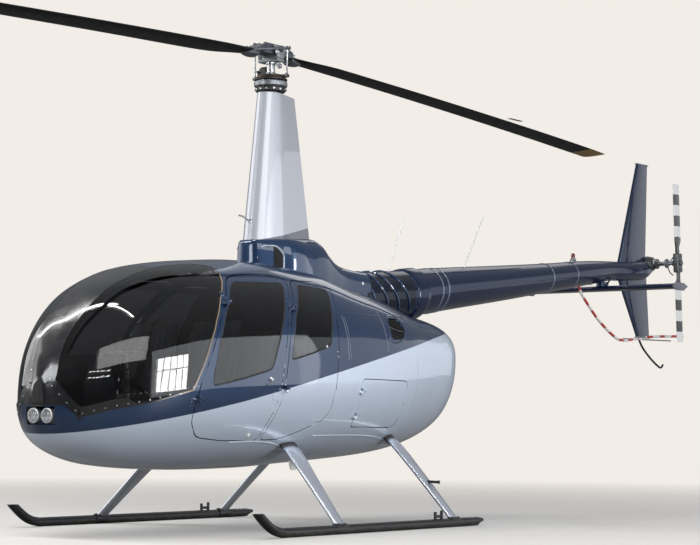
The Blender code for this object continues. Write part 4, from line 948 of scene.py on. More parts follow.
collar = turned(((0.0555, 3.099), (0.100, 3.099), (0.108, 3.106), (0.108, 3.128), (0.112, 3.132),
                 (0.112, 3.138), (0.0555, 3.138), (0.0555, 3.099)), steps=64)
piece(collar, "swashplate_foot", "airframe", satin_black, slot="black_paint", bevel=0.001)
nuts = bmesh.new()
for x, y, z in ringed(14, 0.108, 3.117, 0.2):
    turned(((0.0, 0.0), (0.0085, 0.0), (0.0085, 0.007), (0.0, 0.009)), (x, y, z),
           facing((x, y, 0)), 6, nuts)
piece(nuts, "swashplate_nuts", "airframe", steel, slot="bare_steel")
plate = turned(((0.0555, 3.140), (0.116, 3.140), (0.121, 3.144), (0.121, 3.170), (0.116, 3.177),
                (0.0555, 3.178), (0.0555, 3.140)), steps=64)
bolted(plate, ringed(3, 0.108, 3.177, 0.6), 0.006, 0.005)
piece(plate, "swashplate_lower", "airframe", plate_grey, slot="engine_metal", replaces="swashplate",
      bevel=0.001)
shaft = turned(((0.0, 3.12), (0.040, 3.12), (0.040, 3.24), (0.030, 3.246), (0.030, 3.30), (0.036, 3.306),
                (0.036, 3.345), (0.0, 3.345)), steps=48)
for side in (1, -1):
    # Pitch links with threaded ends in round eyes.
    turned(((0.0, 3.205), (0.0085, 3.205), (0.0085, 3.235), (0.006, 3.24), (0.006, 3.375), (0.0085, 3.380),
            (0.0085, 3.405), (0.0, 3.410)), (side * LINK_REACH, 0, 0), "Z", 16, shaft)
    for z in (3.212, TEETER_Z):
        turned(((0.0, -0.008), (0.015, -0.008), (0.017, 0.0), (0.015, 0.008), (0.0, 0.008)),
               (side * LINK_REACH, 0, z), "X", 20, shaft)
piece(shaft, "rotor_shaft_tube", "main_mast", steel, slot="bare_steel", replaces="rotor_shaft", bevel=0.001,
      turn=mast_turn)
ring = turned(((0.046, 3.184), (0.116, 3.184), (0.120, 3.188), (0.120, 3.195), (0.116, 3.198), (0.046, 3.198),
               (0.046, 3.184)), steps=64)
turned(((0.046, 3.208), (0.088, 3.208), (0.093, 3.212), (0.093, 3.219), (0.086, 3.226), (0.046, 3.228),
        (0.046, 3.208)), steps=64, bm=ring)
block((-0.155, -0.095), (-0.016, 0.016), (3.199, 3.222), 0.005, ring)
block((0.095, 0.155), (-0.016, 0.016), (3.199, 3.222), 0.005, ring)
# The scissors drive the upper plate from the shaft.
cut_plate(((-0.015, 3.215), (0.015, 3.215), (0.012, 3.262), (-0.012, 3.262)), -0.112, -0.098, ring)
cut_plate(((-0.012, 3.240), (0.012, 3.262), (0.012, 3.296), (-0.012, 3.276)), -0.098, -0.040, ring)
turned(((0.0, -0.022), (0.010, -0.022), (0.010, 0.022), (0.0, 0.022)), (-0.105, 0.0, 3.257), "Y", 16, ring)
piece(ring, "swashplate_upper", "main_mast", satin_black, slot="black_paint", turn=mast_turn)
band = turned(((0.046, 3.199), (0.109, 3.199), (0.112, 3.2035), (0.109, 3.207), (0.046, 3.207),
               (0.046, 3.199)), steps=64)
piece(band, "swashplate_bearing", "main_mast", bronze, slot="engine_metal", turn=mast_turn)
eye = turned(((0.0, -0.012), (0.016, -0.012), (0.020, 0.0), (0.016, 0.012), (0.0, 0.012)),
             (0.085, -0.012, 3.285), "Y", 24)
tube([(0.085, -0.012, 3.285), (0.060, -0.008, 3.296), (0.034, -0.004, 3.305)], 0.008, 12, 3, eye)
piece(eye, "scissor_eye", "main_mast", steel, slot="bare_steel", turn=mast_turn)
fork = block((-0.090, 0.090), (-0.040, 0.040), (3.318, 3.350), 0.006)
for side in (1, -1):
    outline = [(side * y, z) for y, z in ((-0.020, 3.335), (0.050, 3.345), (0.062, 3.425), (0.050, 3.436),
                                          (-0.055, 3.436), (-0.062, 3.425))]
    cut_plate(outline, *sorted((side * 0.064, side * 0.080)), fork)
piece(fork, "teeter_fork", "main_mast", plate_grey, slot="engine_metal", turn=mast_turn)
cheeks = bmesh.new()
for side in (1, -1):
    outline = [(side * y, z) for y, z in ((-0.062, 3.372), (-0.070, 3.428), (0.078, 3.428), (0.040, 3.392))]
    cut_plate(outline, *sorted((side * 0.080, side * 0.088)), cheeks)
    turned(((0.0, 0.0), (0.021, 0.0), (0.021, 0.005), (0.012, 0.005), (0.012, 0.010), (0.0, 0.011)),
           (side * 0.087, 0, TEETER_Z), facing((side, 0, 0)), 24, cheeks)
piece(cheeks, "teeter_cheeks", "main_mast", steel, slot="bare_steel", turn=mast_turn)
hub_grey = worn("hub_grey", (0.075, 0.085, 0.10), (0.13, 0.14, 0.155), 0.40, 0.5, scale=28.0, bump=0.25)
outline = [(y, TEETER_Z + z) for y, z in ((-0.205, -0.040), (0.205, -0.040), (0.205, 0.004), (0.13, 0.028),
                                          (-0.13, 0.028), (-0.205, 0.004))]
hub = cut_plate(outline, -0.056, 0.056, round_by=0.008)
for x in (-0.046, 0.046):
    block((x - 0.006, x + 0.006), (-0.15, 0.15), (TEETER_Z + 0.020, TEETER_Z + 0.036), 0.003, hub)
turned(((0.0, -0.100), (0.024, -0.100), (0.024, 0.100), (0.0, 0.100)), (0, 0, TEETER_Z), "X", 24, hub)
bolted(hub, [(x, y, TEETER_Z + 0.024) for x in (-0.025, 0.025) for y in (-0.11, -0.06, 0.06, 0.11)], 0.010,
       0.014)
piece(hub, "rotor_hub_block", "main_rotor", hub_grey, slot="bare_steel", replaces="rotor_hub",
      turn=teeter_turn)

# The main blades are bonded skins on a steel leading edge, painted black, with a pale brown band at
# the tip. Each sits on an oval grip at the hub and takes its pitch from a horn. One has a trim tab.
# Stations: distance from the mast, 0 for round to 1 for an aerofoil, width, thickness, degrees of pitch.
BLADE = np.array((
    (0.212, 0.5, 0.100, 0.046, 1.0), (0.235, 0.6, 0.112, 0.046, 2.0), (0.30, 0.8, 0.150, 0.042, 3.0),
    (0.45, 1.0, 0.215, 0.036, 4.5), (0.62, 1.0, 0.248, 0.034, 4.5),
    (0.85, 1.0, 0.254, 0.032, 4.5), (1.6, 1.0, 0.254, 0.031, 3.5), (2.5, 1.0, 0.254, 0.030, 2.5),
    (3.3, 1.0, 0.254, 0.029, 1.5), (4.1, 1.0, 0.254, 0.027, 0.5), (4.72, 1.0, 0.254, 0.026, 0.0),
    (5.03, 1.0, 0.246, 0.024, 0.0)))


def blade_ring(reach, shape, width, thick, pitch):
    """One section of the forward blade, whose leading edge is on the aircraft's left."""
    drop = -0.035 - 0.030 * reach - 0.0028 * reach ** 2
    foil = airfoil(width, thick, 15)
    ring = []
    for k, (d, h) in enumerate(foil):
        turn = 2 * math.pi * k / len(foil)
        x = (1 - shape) * (-width / 2 * math.cos(turn)) + shape * (0.3 * width - d)
        z = (1 - shape) * (thick / 2 * math.sin(turn)) + shape * h
        a = math.radians(pitch)
        ring.append((x * math.cos(a) - z * math.sin(a), -reach, TEETER_Z + drop + x * math.sin(a)
                     + z * math.cos(a)))
    return ring


blade_black, tree, shader = finish_of("blade_black", (0.006, 0.006, 0.007), 0.55, Specular_IOR_Level=0.12)
parts = add(tree, "SeparateXYZ", (0, spot_of(tree)))
out_there = sums(tree, sums(tree, parts.node.outputs[1], "SUBTRACT", MAST.y), "ABSOLUTE", 0.0)
soot = mixed(tree, ramp(tree, speckle(tree, 9.0, 6.0), 0.4, 0.8), (0.005, 0.005, 0.006),
             (0.012, 0.012, 0.012))
TIP_BAND_FROM = 4.74
at_tip = sums(tree, out_there, "GREATER_THAN", TIP_BAND_FROM)
feed(tree, shader, "Base Color", mixed(tree, at_tip, soot, (0.30, 0.19, 0.07)))
feed(tree, shader, "Roughness", ramp(tree, speckle(tree, 14.0, 4.0), 0.3, 0.7, 0.50, 0.64))
bumped(tree, shader, speckle(tree, 220.0), 0.06)
# Stations of the grip: distance from the mast, half width, half height, height from the teeter bolt.
GRIP = ((0.2003, 0.050, 0.030, -0.046), (0.23, 0.056, 0.036, -0.050), (0.28, 0.052, 0.034, -0.052),
        (0.34, 0.036, 0.022, -0.050), (0.39, 0.012, 0.008, -0.044), (0.40, 0.004, 0.003, -0.043))
for node, way in (("main_blade_forward", 1), ("main_blade_aft", -1)):
    about = teeter_turn @ Matrix.Rotation(0 if way > 0 else math.pi, 4, "Z")
    bm = skinned([blade_ring(*row) for row in filled(BLADE, 0.08)])
    piece(bm, node + "_skin", "main_rotor", blade_black, slot="black_paint", replaces=node, angle=45,
          turn=about)
    grip = skinned([[(wide * math.cos(a), -reach, TEETER_Z + z + tall * math.sin(a))
                     for a in (2 * math.pi * k / 32 for k in range(32))]
                    for reach, wide, tall, z in filled(np.array(GRIP), 0.02)])
    tube([(0.040, -0.26, TEETER_Z - 0.040, 0.012), (0.112, -0.19, TEETER_Z - 0.030, 0.011),
          (0.157, -0.080, TEETER_Z - 0.012, 0.008), (0.159, -0.030, TEETER_Z - 0.002, 0.006),
          (0.159, 0.0, TEETER_Z, 0.006)], sides=12, steps=6, bm=grip)
    turned(((0.0, -0.007), (0.014, -0.007), (0.014, 0.007), (0.0, 0.007)), (0.1595, 0.0, TEETER_Z), "X", 20,
           grip)
    bolted(grip, [(x, -y, TEETER_Z - 0.012) for x in (-0.028, 0.028) for y in (0.222, 0.25)], 0.008, 0.008)
    piece(grip, node + "_grip", "main_rotor", hub_grey, slot="engine_metal", turn=about)
piece(block((-0.205, -0.172), (-3.40, -3.18), (3.268, 3.271)), "blade_trim_tab", "main_rotor", plate_grey,
      slot="bare_steel", turn=about)

# The landing gear is two streamlined cross tubes that spread when it sits down, on tubular steel
# skids with wear shoes, turned up at the toe.
SKID_X, TOE_TOP = 1.065, 0.157
CROSS_TUBES = {
    "front_cross_tube": (  # x, y, z, chord, thickness
        (SKID_X, -0.568, 0.045, 0.094, 0.040), (0.825, -0.511, 0.29, 0.130, 0.043),
        (0.600, -0.456, 0.515, 0.172, 0.046), (0.545, -0.445, 0.550, 0.168, 0.048),
        (0.480, -0.440, 0.563, 0.150, 0.050), (0.250, -0.440, 0.568, 0.054, 0.050)),
    "rear_cross_tube": (
        (SKID_X, 0.810, 0.045, 0.084, 0.040), (0.790, 0.838, 0.32, 0.104, 0.043),
        (0.520, 0.864, 0.575, 0.118, 0.046), (0.460, 0.868, 0.598, 0.080, 0.048),
        (0.400, 0.870, 0.608, 0.056, 0.050), (0.200, 0.870, 0.610, 0.054, 0.050)),
}
strut_paint = automotive("strut_paint", (0.0, 1.0), silver=(0.72, 0.76, 0.84), metal=0.92)
for node, stations in CROSS_TUBES.items():
    half = np.array(stations)
    whole = curved(np.vstack((half, half[::-1] * (-1, 1, 1, 1, 1))), 5)
    rows = []
    for k, (x, y, z, chord, thick) in enumerate(whole):
        run = whole[min(k + 1, len(whole) - 1)] - whole[max(k - 1, 0)]
        across = Vector((run[2], 0, -run[0])).normalized()
        rows.append([Vector((x, y + chord / 2 * math.cos(a), z)) + across * (thick / 2 * math.sin(a))
                     for a in (2 * math.pi * i / 28 for i in range(28))])
    piece(skinned(rows), node + "_fairing", "airframe", strut_paint, slot="silver_blue_paint", replaces=node)
# Stations of a skid: y, z, radius.
SKID = ((-1.49, 0.196, 0.030), (-1.40, 0.120, 0.031), (-1.30, 0.058, 0.031), (-1.20, 0.033, 0.031),
        (-1.08, 0.031, 0.031), (0.0, 0.031, 0.031), (1.00, 0.031, 0.031), (1.10, 0.034, 0.026),
        (1.18, 0.040, 0.012))
skid_black, tree, shader = finish_of("skid_black", (0.010, 0.010, 0.011), 0.40, 0.1)
scuffs = mixed(tree, ramp(tree, speckle(tree, 26.0, 6.0), 0.4, 0.7), (0.022, 0.021, 0.020),
               (0.060, 0.057, 0.053))
height = add(tree, "SeparateXYZ", (0, spot_of(tree))).node.outputs[2]
feed(tree, shader, "Base Color", mixed(tree, ramp(tree, height, 0.026, 0.040, 1.0, 0.0),
                                       (0.008, 0.008, 0.009), scuffs))
feed(tree, shader, "Roughness", ramp(tree, speckle(tree, 30.0, 4.0), 0.3, 0.7, 0.32, 0.50))
bumped(tree, shader, speckle(tree, 200.0), 0.2)
for side, label in SIDES:
    bm = tube([(side * SKID_X, y, z, r) for y, z, r in SKID], sides=20, steps=5)
    bmesh.ops.bisect_plane(bm, geom=bm.verts[:] + bm.edges[:] + bm.faces[:], plane_co=(0, 0, TOE_TOP),
                           plane_no=(0, 0, 1), clear_outer=True)
    bmesh.ops.holes_fill(bm, edges=[e for e in bm.edges if e.is_boundary])
    bmesh.ops.recalc_face_normals(bm, faces=bm.faces)
    piece(bm, f"skid_tube_{label}", "airframe", skid_black, slot="black_paint", replaces=f"skid_{label}")

# A ground wheel's bracket of two posts stands on each skid, with a saddle clamp under each leg. Rows of
# rivets hold the wear shoes at toe and heel. A step peg sticks out of the left rear leg.
for side, label in SIDES:
    fittings = bmesh.new()
    for y, top in ((0.560, 0.112), (0.640, 0.120)):
        tube([(side * SKID_X, y, z) for z in (0.050, 0.08, top)], 0.011, 12, 3, fittings)
    tube([(side * SKID_X, 0.560, 0.080), (side * SKID_X, 0.640, 0.080)], 0.010, 12, 3, fittings)
    for y in (-0.568, 0.810):
        turned(((0.0318, -0.062), (0.0345, -0.058), (0.0345, 0.058), (0.0318, 0.062), (0.0318, -0.062)),
               (side * 1.0595, y, 0.0345), "Y", 32, fittings)
        block(tuple(sorted((side * 1.030, side * 1.085))), (y - 0.045, y + 0.045), (0.055, 0.070), 0.005,
              fittings)
        for dy in (-0.034, 0.034):
            for dx in (-0.016, 0.016):
                turned(((0.0, 0.0), (0.006, 0.0), (0.006, 0.004), (0.0, 0.005)),
                       (side * (1.058 + dx), y + dy, 0.069), "Z", 6, fittings)
    piece(fittings, f"skid_fittings_{label}", "airframe", satin_black, slot="black_paint")
    studs = bmesh.new()
    for y, z in ((-1.385, 0.141), (-1.362, 0.121), (-1.339, 0.104), (0.98, 0.060), (1.02, 0.060),
                 (1.06, 0.058)):
        for dx in (-0.014, 0.0, 0.014):
            turned(((0.0, 0.003), (0.003, 0.002), (0.004, -0.004), (0.0, -0.004)),
                   (side * (SKID_X + dx), y, z), "Z", 8, studs)
    piece(studs, f"skid_rivets_{label}", "airframe", steel, slot="bare_steel")
peg = tube([(0.800, 0.834, 0.315), (0.86, 0.834, 0.313), (0.915, 0.834, 0.312)], 0.010, 14, 4)
turned(((0.0, -0.004), (0.013, -0.003), (0.013, 0.003), (0.0, 0.004)), (0.915, 0.834, 0.312), "X", 16, peg)
piece(peg, "step_peg", "airframe", satin_black, slot="black_paint")

# The shell's panels meet at thin seams painted pale as a highlight on their edges, and a low raised
# crease runs along the belly beside each leg. The legs leave the belly through rubber seals.
seam_highlight = worn("seam_highlight", (0.20, 0.225, 0.27), (0.26, 0.285, 0.33), 0.4)


def seam(points, name, side, width=0.0022):
    path = curved(on_side(points, side), 6)
    profile = ((-width, 0.0001), (-0.6 * width, 0.0006), (0.6 * width, 0.0006), (width, 0.0001),
               (width, -0.0008), (-width, -0.0008))
    piece(along_pod(onto_pod(path), profile), name, "airframe", seam_highlight, slot="black_paint")


CREASES = {
    "front": ((0.546, -1.103, 0.597), (0.549, -0.784, 0.597), (0.519, -0.553, 0.574), (0.438, -0.325, 0.527)),
    "rear": ((0.578, -0.238, 0.642), (0.538, 0.311, 0.642), (0.471, 0.680, 0.627), (0.309, 1.113, 0.585)),
}
for side, label in SIDES:
    seam(((-0.012, 1.16), (-0.010, 1.30), (-0.012, 1.47)), f"seam_rear_of_door_{label}", side)
    seam(((0.012, 1.17), (0.014, 1.30), (0.012, 1.46)), f"seam_cowl_front_{label}", side, 0.0014)
    seam(((0.520, 1.24), (0.522, 1.38), (0.520, 1.53)), f"seam_cowl_middle_{label}", side)
    seam(((0.96, 0.80), (0.965, 1.0), (0.96, 1.22)), f"seam_flank_{label}", side, 0.0011)
    for name, crease in CREASES.items():
        path = onto_pod(curved([(side * x, y, z) for x, y, z in crease], 8))
        taper = np.sin(math.pi * (0.04 + 0.92 * np.linspace(0, 1, len(path)))) ** 0.5
        bead = along_pod(path, ((-0.012, -0.001), (-0.006, 0.003), (0.0, 0.0045), (0.006, 0.003),
                                (0.012, -0.001)), widths=taper)
        piece(bead, f"leg_blister_{name}_{label}", "airframe", body_paint, slot="silver_blue_paint", angle=60)
LEG_SEALS = {"front": (0.565, -0.448, 0.542, 0.172), "rear": (0.492, 0.866, 0.588, 0.106)}
SEAL_STEPS = ((-0.045, 0.004), (-0.020, 0.004), (-0.015, 0.002), (-0.014, -0.004))
for name, (x, y, z, chord) in LEG_SEALS.items():
    for side, label in SIDES:
        collar = skinned([[(side * (x + d), y + (chord / 2 + grow) * math.cos(a),
                            z - d + (0.030 + grow) * math.sin(a))
                           for a in (2 * math.pi * k / 36 for k in range(36))]
                          for d, grow in SEAL_STEPS])
        piece(collar, f"leg_seal_{name}_{label}", "airframe", rubber, slot="black_paint", angle=60)

# Small hardware on the skin: painted hinge leaves with steel rivets, latches and locks on the doors,
# rows of flush rivets, steel studs round the windshields' front corners, and a white drain in the belly.
def pinned(bm, y, z, profile, side=1, steps=16, out=0.0):
    """Stands a small turned fitting on the pod's flank."""
    p = on_side(((y, z),), side, out)
    return turned(profile, p[0], facing(pod_normals(p)[0]), steps, bm)


RIVET = ((0.0, 0.0014), (0.0018, 0.0011), (0.0028, -0.0006), (0.0, -0.0006))
HINGES = {"front": ((-1.177, 1.544), (-1.528, 0.850)), "rear": ((-0.562, 1.513), (-0.807, 0.901))}
for side, label in SIDES:
    for place, hinges in HINGES.items():
        screws, leaves = bmesh.new(), bmesh.new()
        for y, z in hinges:
            for dy in (-0.030, -0.050):
                for dz in (-0.022, 0.0, 0.022):
                    pinned(screws, y + dy, z + dz, RIVET, side, 8, 0.002)
            p = on_side(((y - 0.034, z),), side)[0]
            leaf = block((-0.020, 0.020), (-0.030, 0.030), (-0.001, 0.0016), 0.0008)
            n = Vector(pod_normals(p)[0])
            along = (Vector((0, 1, 0)) - n * n.y).normalized()
            frame_of = Matrix((along, n.cross(along), n)).transposed().to_4x4()
            bmesh.ops.transform(leaf, matrix=Matrix.Translation(p) @ frame_of, verts=leaf.verts)
            joined(leaf, leaves)
        piece(leaves, f"hinge_leaves_{place}_{label}", "airframe", body_paint, slot="dark_blue_paint")
        piece(screws, f"hinge_rivets_{place}_{label}", "airframe", steel, slot="bare_steel")
    knob = bmesh.new()
    pinned(knob, -0.892, 1.007, ((0.0, 0.016), (0.010, 0.015), (0.014, 0.010), (0.010, 0.004),
                                 (0.018, 0.002), (0.019, -0.001), (0.0, -0.001)), side, 24)
    piece(knob, f"front_latch_{label}", f"{label}_front_door", steel, slot="bare_steel")
    lock = bmesh.new()
    pinned(lock, -0.930, 0.972, ((0.0, 0.002), (0.006, 0.002), (0.0075, -0.001), (0.0, -0.001)), side, 16)
    piece(lock, f"front_lock_{label}", f"{label}_front_door", satin_black, slot="black_paint")
    knob = bmesh.new()
    for y, z in ((-0.145, 1.215), (-0.142, 1.180)):
        pinned(knob, y, z, ((0.0, 0.004), (0.005, 0.003), (0.0065, -0.001), (0.0, -0.001)), side, 16)
    piece(knob, f"rear_latch_{label}", f"{label}_rear_door", steel, slot="bare_steel")
    screws = bmesh.new()
    for k in range(15):
        pinned(screws, -2.02 + 0.035 * k, 0.905 + 0.0045 * k - 0.02, RIVET, side, 8)
    for k in range(12):
        pinned(screws, 0.06 + 0.040 * k, 1.50, RIVET, side, 8)
    for k in range(10):
        pinned(screws, 0.30 + 0.11 * k, 0.62 + 0.006 * k, RIVET, side, 8)
    piece(screws, f"shell_rivets_{label}", "airframe", steel, slot="bare_steel")
for side, label in SIDES:
    studs, path = bmesh.new(), outlines[f"windshield_{label}"]
    normals, middle = pod_normals(path), path.mean(0)
    for k in range(0, len(path), 6):
        p, n = path[k], Vector(normals[k])
        if p[1] < -1.72 and p[2] < 1.12:
            inward = np.cross(normals[k], path[(k + 2) % len(path)] - path[k - 2])
            inward /= np.linalg.norm(inward) * (1 if inward.dot(middle - p) > 0 else -1)
            turned(((0.0, 0.0050), (0.0035, 0.0044), (0.0055, 0.0010), (0.0, 0.0010)), p + 0.020 * inward,
                   facing(n), 12, studs)
    piece(studs, f"windshield_studs_{label}", "airframe", steel, slot="bare_steel")
    bends = [np.dot(p - path[k - 3], path[(k + 3) % len(path)] - p) if p[2] < 1.0 and p[1] < -1.9 else 1.0
             for k, p in enumerate(path)]
    k = int(np.argmin(bends))
    piece(turned(((0.0, 0.0024), (0.013, 0.0022), (0.016, -0.001), (0.0, -0.001)), path[k],
                 facing(normals[k]), 24), f"windshield_corner_{label}", "airframe", gloss_black,
          slot="black_paint")
drain = bmesh.new()
pinned(drain, -0.960, 0.641, ((0.0, 0.012), (0.008, 0.012), (0.010, 0.006), (0.017, 0.003), (0.018, -0.001),
                              (0.0, -0.001)))
piece(drain, "drain_fittings", "airframe", white, slot="white_paint")

# The engine bay's air intakes are rounded openings in the upper side cowl, each with a black grille
# behind one bright stiffener and a thin painted rim.
INTAKE = ((0.633, 1.500), (0.770, 1.507), (0.837, 1.445), (0.833, 1.396), (0.771, 1.337), (0.641, 1.307),
          (0.572, 1.336), (0.583, 1.433))


WIRE = ((-0.0014, 0.0), (0.0, 0.0012), (0.0014, 0.0), (0.0, -0.0012))


def inside_of(outline, y, z):
    """Whether a point of the side view lies inside an outline."""
    within = False
    for (y0, z0), (y1, z1) in zip(outline, outline[1:] + outline[:1]):
        if (z0 > z) != (z1 > z) and y < (y1 - y0) * (z - z0) / (z1 - z0) + y0:
            within = not within
    return within


for side, label in SIDES:
    rim = onto_pod(curved(on_side(INTAKE + INTAKE[:1], side), 8)[:-1])
    piece(along_pod(rim, ((0.010, 0.0002), (0.004, 0.003), (-0.002, 0.004), (-0.006, 0.0005),
                          (0.0, -0.002)), closed=True), f"intake_rim_{label}", "airframe", blue_paint,
          slot="dark_blue_paint", angle=60)
    grille = bmesh.new()
    for k in range(13):
        z = 1.320 + 0.0145 * k
        inside = [y for y in np.linspace(0.55, 0.86, 120) if inside_of(INTAKE, y, z)]
        if len(inside) > 4:
            along_pod(on_side([(y, z) for y in np.linspace(inside[0], inside[-1], 8)], side, -0.006), WIRE,
                      bm=grille)
    for k in range(20):
        y = 0.575 + 0.0140 * k
        inside = [z for z in np.linspace(1.30, 1.52, 90) if inside_of(INTAKE, y, z)]
        if len(inside) > 4:
            along_pod(on_side([(y, z) for z in np.linspace(inside[0], inside[-1], 8)], side, -0.008), WIRE,
                      bm=grille)
    piece(grille, f"intake_grille_{label}", "airframe", satin_black, slot="black_paint")
    bar = along_pod(on_side(((0.598, 1.425), (0.70, 1.405), (0.815, 1.395)), side, -0.004),
                    ((-0.003, 0.0), (-0.002, 0.003), (0.002, 0.003), (0.003, 0.0), (0.0, -0.002)))
    piece(bar, f"intake_stiffener_{label}", "airframe", steel, slot="bare_steel")

# Aerials, the beacon and the pitot tube are bought-in fittings. Two whips and the beacon are screwed to
# the boom and its root, the blade aerial to the belly and the pitot tube to the mast fairing.
BEACON = (0, 4.42, 2.190)
WHIPS = {"whip_forward": ((1.502, 1.900), (1.734, 2.371)), "whip_aft": ((2.586, 1.990), (2.910, 2.479))}
for name, (foot, tip) in WHIPS.items():
    whip = tube([(0, *foot, 0.009), (0, foot[0] * 0.6 + tip[0] * 0.4, foot[1] * 0.6 + tip[1] * 0.4, 0.008),
                 (0, *tip, 0.006)], sides=10, steps=6)
    turned(((0.0, 0.035), (0.008, 0.033), (0.013, 0.0), (0.016, -0.02), (0.0, -0.02)), (0, *foot), "Z", 16,
           whip)
    piece(whip, name, "airframe", white, slot="white_paint")
beacon_red = worn("beacon_lens", (0.10, 0.012, 0.012), (0.14, 0.02, 0.02), 0.15, scale=50.0, Coat_Weight=0.6)
piece(turned(((0.0, 0.082), (0.011, 0.080), (0.017, 0.070), (0.018, 0.036), (0.0, 0.036)), BEACON, "Z", 32),
      "beacon_lens", "airframe", beacon_red, slot="black_paint")
piece(turned(((0.0, 0.038), (0.022, 0.036), (0.024, 0.024), (0.031, 0.012), (0.035, -0.004),
              (0.035, -0.020), (0.0, -0.020)), BEACON, "Z", 32), "beacon_base", "airframe", plate_grey,
      slot="dark_blue_paint")
fin = skinned([[(h, 0.309 - chord / 2 + d, z) for d, h in airfoil(chord, 0.012)]
               for z, chord in ((0.470, 0.105), (0.430, 0.095), (0.400, 0.075), (0.389, 0.055))])
piece(fin, "belly_aerial", "airframe", white, slot="white_paint")
pitot = tube([(0, -0.235, 2.150), (0, -0.262, 2.163), (0, -0.300, 2.176), (0, -0.345, 2.180)], 0.0065, 14, 6)
turned(((0.0, 0.004), (0.016, 0.002), (0.018, -0.008), (0.0, -0.008)), (0, -0.226, 2.150),
       facing((0, -1, 0.12)), 20, pitot)
piece(pitot, "pitot_tube", "airframe", steel, slot="bare_steel")

# Riveted bands join the boom's bays, and curved stiffeners run over its root. They are thin sheet, in
# the boom's colours, and each stiffener leans aft as it comes down the side. The bands are painted
# a lighter blue-grey, as a highlight on their raised edges.
def round_at(table, y):
    """Height of the middle and radius of a round body at a station."""
    return [np.interp(y, table[:, 0], table[:, c]) for c in (1, 2)]


RIB_RADIUS, RIB_FALL = 0.1995, 0.235
for k, (top_y, low_y) in enumerate(((0.98, 1.071), (1.108, 1.243), (1.241, 1.392), (1.40, 1.54))):
    lean = (low_y - top_y) / RIB_FALL
    rib = []
    for a in np.linspace(math.radians(-38), math.radians(218), 40):
        y = (low_y + top_y) / 2 - lean * (RIB_RADIUS * math.sin(a) - 0.03)
        centre, radius = round_at(BOOM_ROOT, y)
        rib.append((radius * math.cos(a), y, centre + radius * math.sin(a)))
    piece(tube(rib, 0.010, 10, 1), f"root_rib_{k}", "airframe", blue_paint, slot="dark_blue_paint")
rivets = bmesh.new()
# The bands' lighter blue-grey is a painted highlight.
band_highlight_paint = worn("band_highlight_lacquer", (0.13, 0.16, 0.23), (0.17, 0.20, 0.27), 0.3, 0.3, scale=30.0,
                  Coat_Weight=0.5)
for y in (2.02, 2.11, 3.865, 4.31):
    z, radius = round_at(BOOM, y)
    band = turned(((radius + 0.0002, -0.010), (radius + 0.0018, -0.009), (radius + 0.0018, 0.009),
                   (radius + 0.0002, 0.010), (radius - 0.003, 0.0), (radius + 0.0002, -0.014)), (0, y, z),
                  "Y", 64)
    piece(band, f"boom_band_{round(y * 100)}", "airframe", band_highlight_paint, slot="dark_blue_paint")
    for k in range(36):
        a = 2 * math.pi * k / 36
        out = Vector((math.cos(a), 0, math.sin(a)))
        for dy in (-0.005, 0.005):
            turned(RIVET, Vector((0, y + dy, z)) + out * (radius + 0.0018), facing(out), 6, rivets)
for y in np.arange(1.9, 5.5, 0.06):
    z, radius = round_at(BOOM, y)
    for a in (math.radians(-12), math.radians(192)):
        out = Vector((math.cos(a), 0, math.sin(a)))
        turned(RIVET, Vector((0, y, z)) + out * (radius + 0.0003), facing(out), 6, rivets)
piece(rivets, "boom_rivets", "airframe", tail_shaded_paint, slot="dark_blue_paint")
fitting = turned(((0.0, 0.010), (0.012, 0.008), (0.016, 0.0), (0.018, -0.010), (0.0, -0.010)),
                 (0.188, 0.895, 1.770), "X", 20)
piece(fitting, "root_fitting", "airframe", steel, slot="bare_steel")

# Brackets and rods at the tail hold the guard and brace the stabilizer. They are bent from rod and cut
# from plate. The fins have thin caps, and the stabilizer has a six-sided plate at each tip.
rods = tube([(0, 5.36, 1.545), (0, 5.80, 1.552), (0.02, 6.30, 1.560)], 0.006, 12, 6)
piece(rods, "guard_brace", "airframe", plate_grey, slot="bare_steel")
bracket = block((-0.010, 0.010), (5.655, 5.735), (1.545, 1.590), 0.004)
block((-0.012, 0.030), (4.690, 4.730), (2.005, 2.040), 0.004, bracket)
piece(bracket, "guard_brackets", "airframe", white, slot="white_paint")
caps = block((-0.016, 0.016), (5.634, 5.860), (3.212, 3.222), 0.004)
block((-0.017, 0.017), (5.620, 5.886), (1.565, 1.577), 0.004, caps)
piece(caps, "fin_caps", "airframe", plate_grey, slot="bare_steel")
tip_grey = worn("tip_grey", (0.085, 0.085, 0.115), (0.12, 0.12, 0.15), 0.4, scale=24.0, Coat_Weight=0.3)
for side, label in SIDES:
    tip = cut_plate(((4.815, 1.976), (4.885, 2.014), (5.045, 2.016), (5.125, 1.990), (5.045, 1.946),
                     (4.885, 1.944)), *sorted((side * 0.776, side * 0.784)))
    piece(tip, f"stabilizer_tip_{label}", "airframe", tip_grey, slot="dark_blue_paint")
strakes = bmesh.new()
for side in (1, -1):
    tube([(side * 0.02, 4.96, 2.00), (side * 0.06, 4.965, 2.04), (side * 0.085, 4.97, 2.085)], 0.008, 10, 3,
         strakes)
piece(strakes, "stabilizer_struts", "airframe", blue_paint, slot="dark_blue_paint")

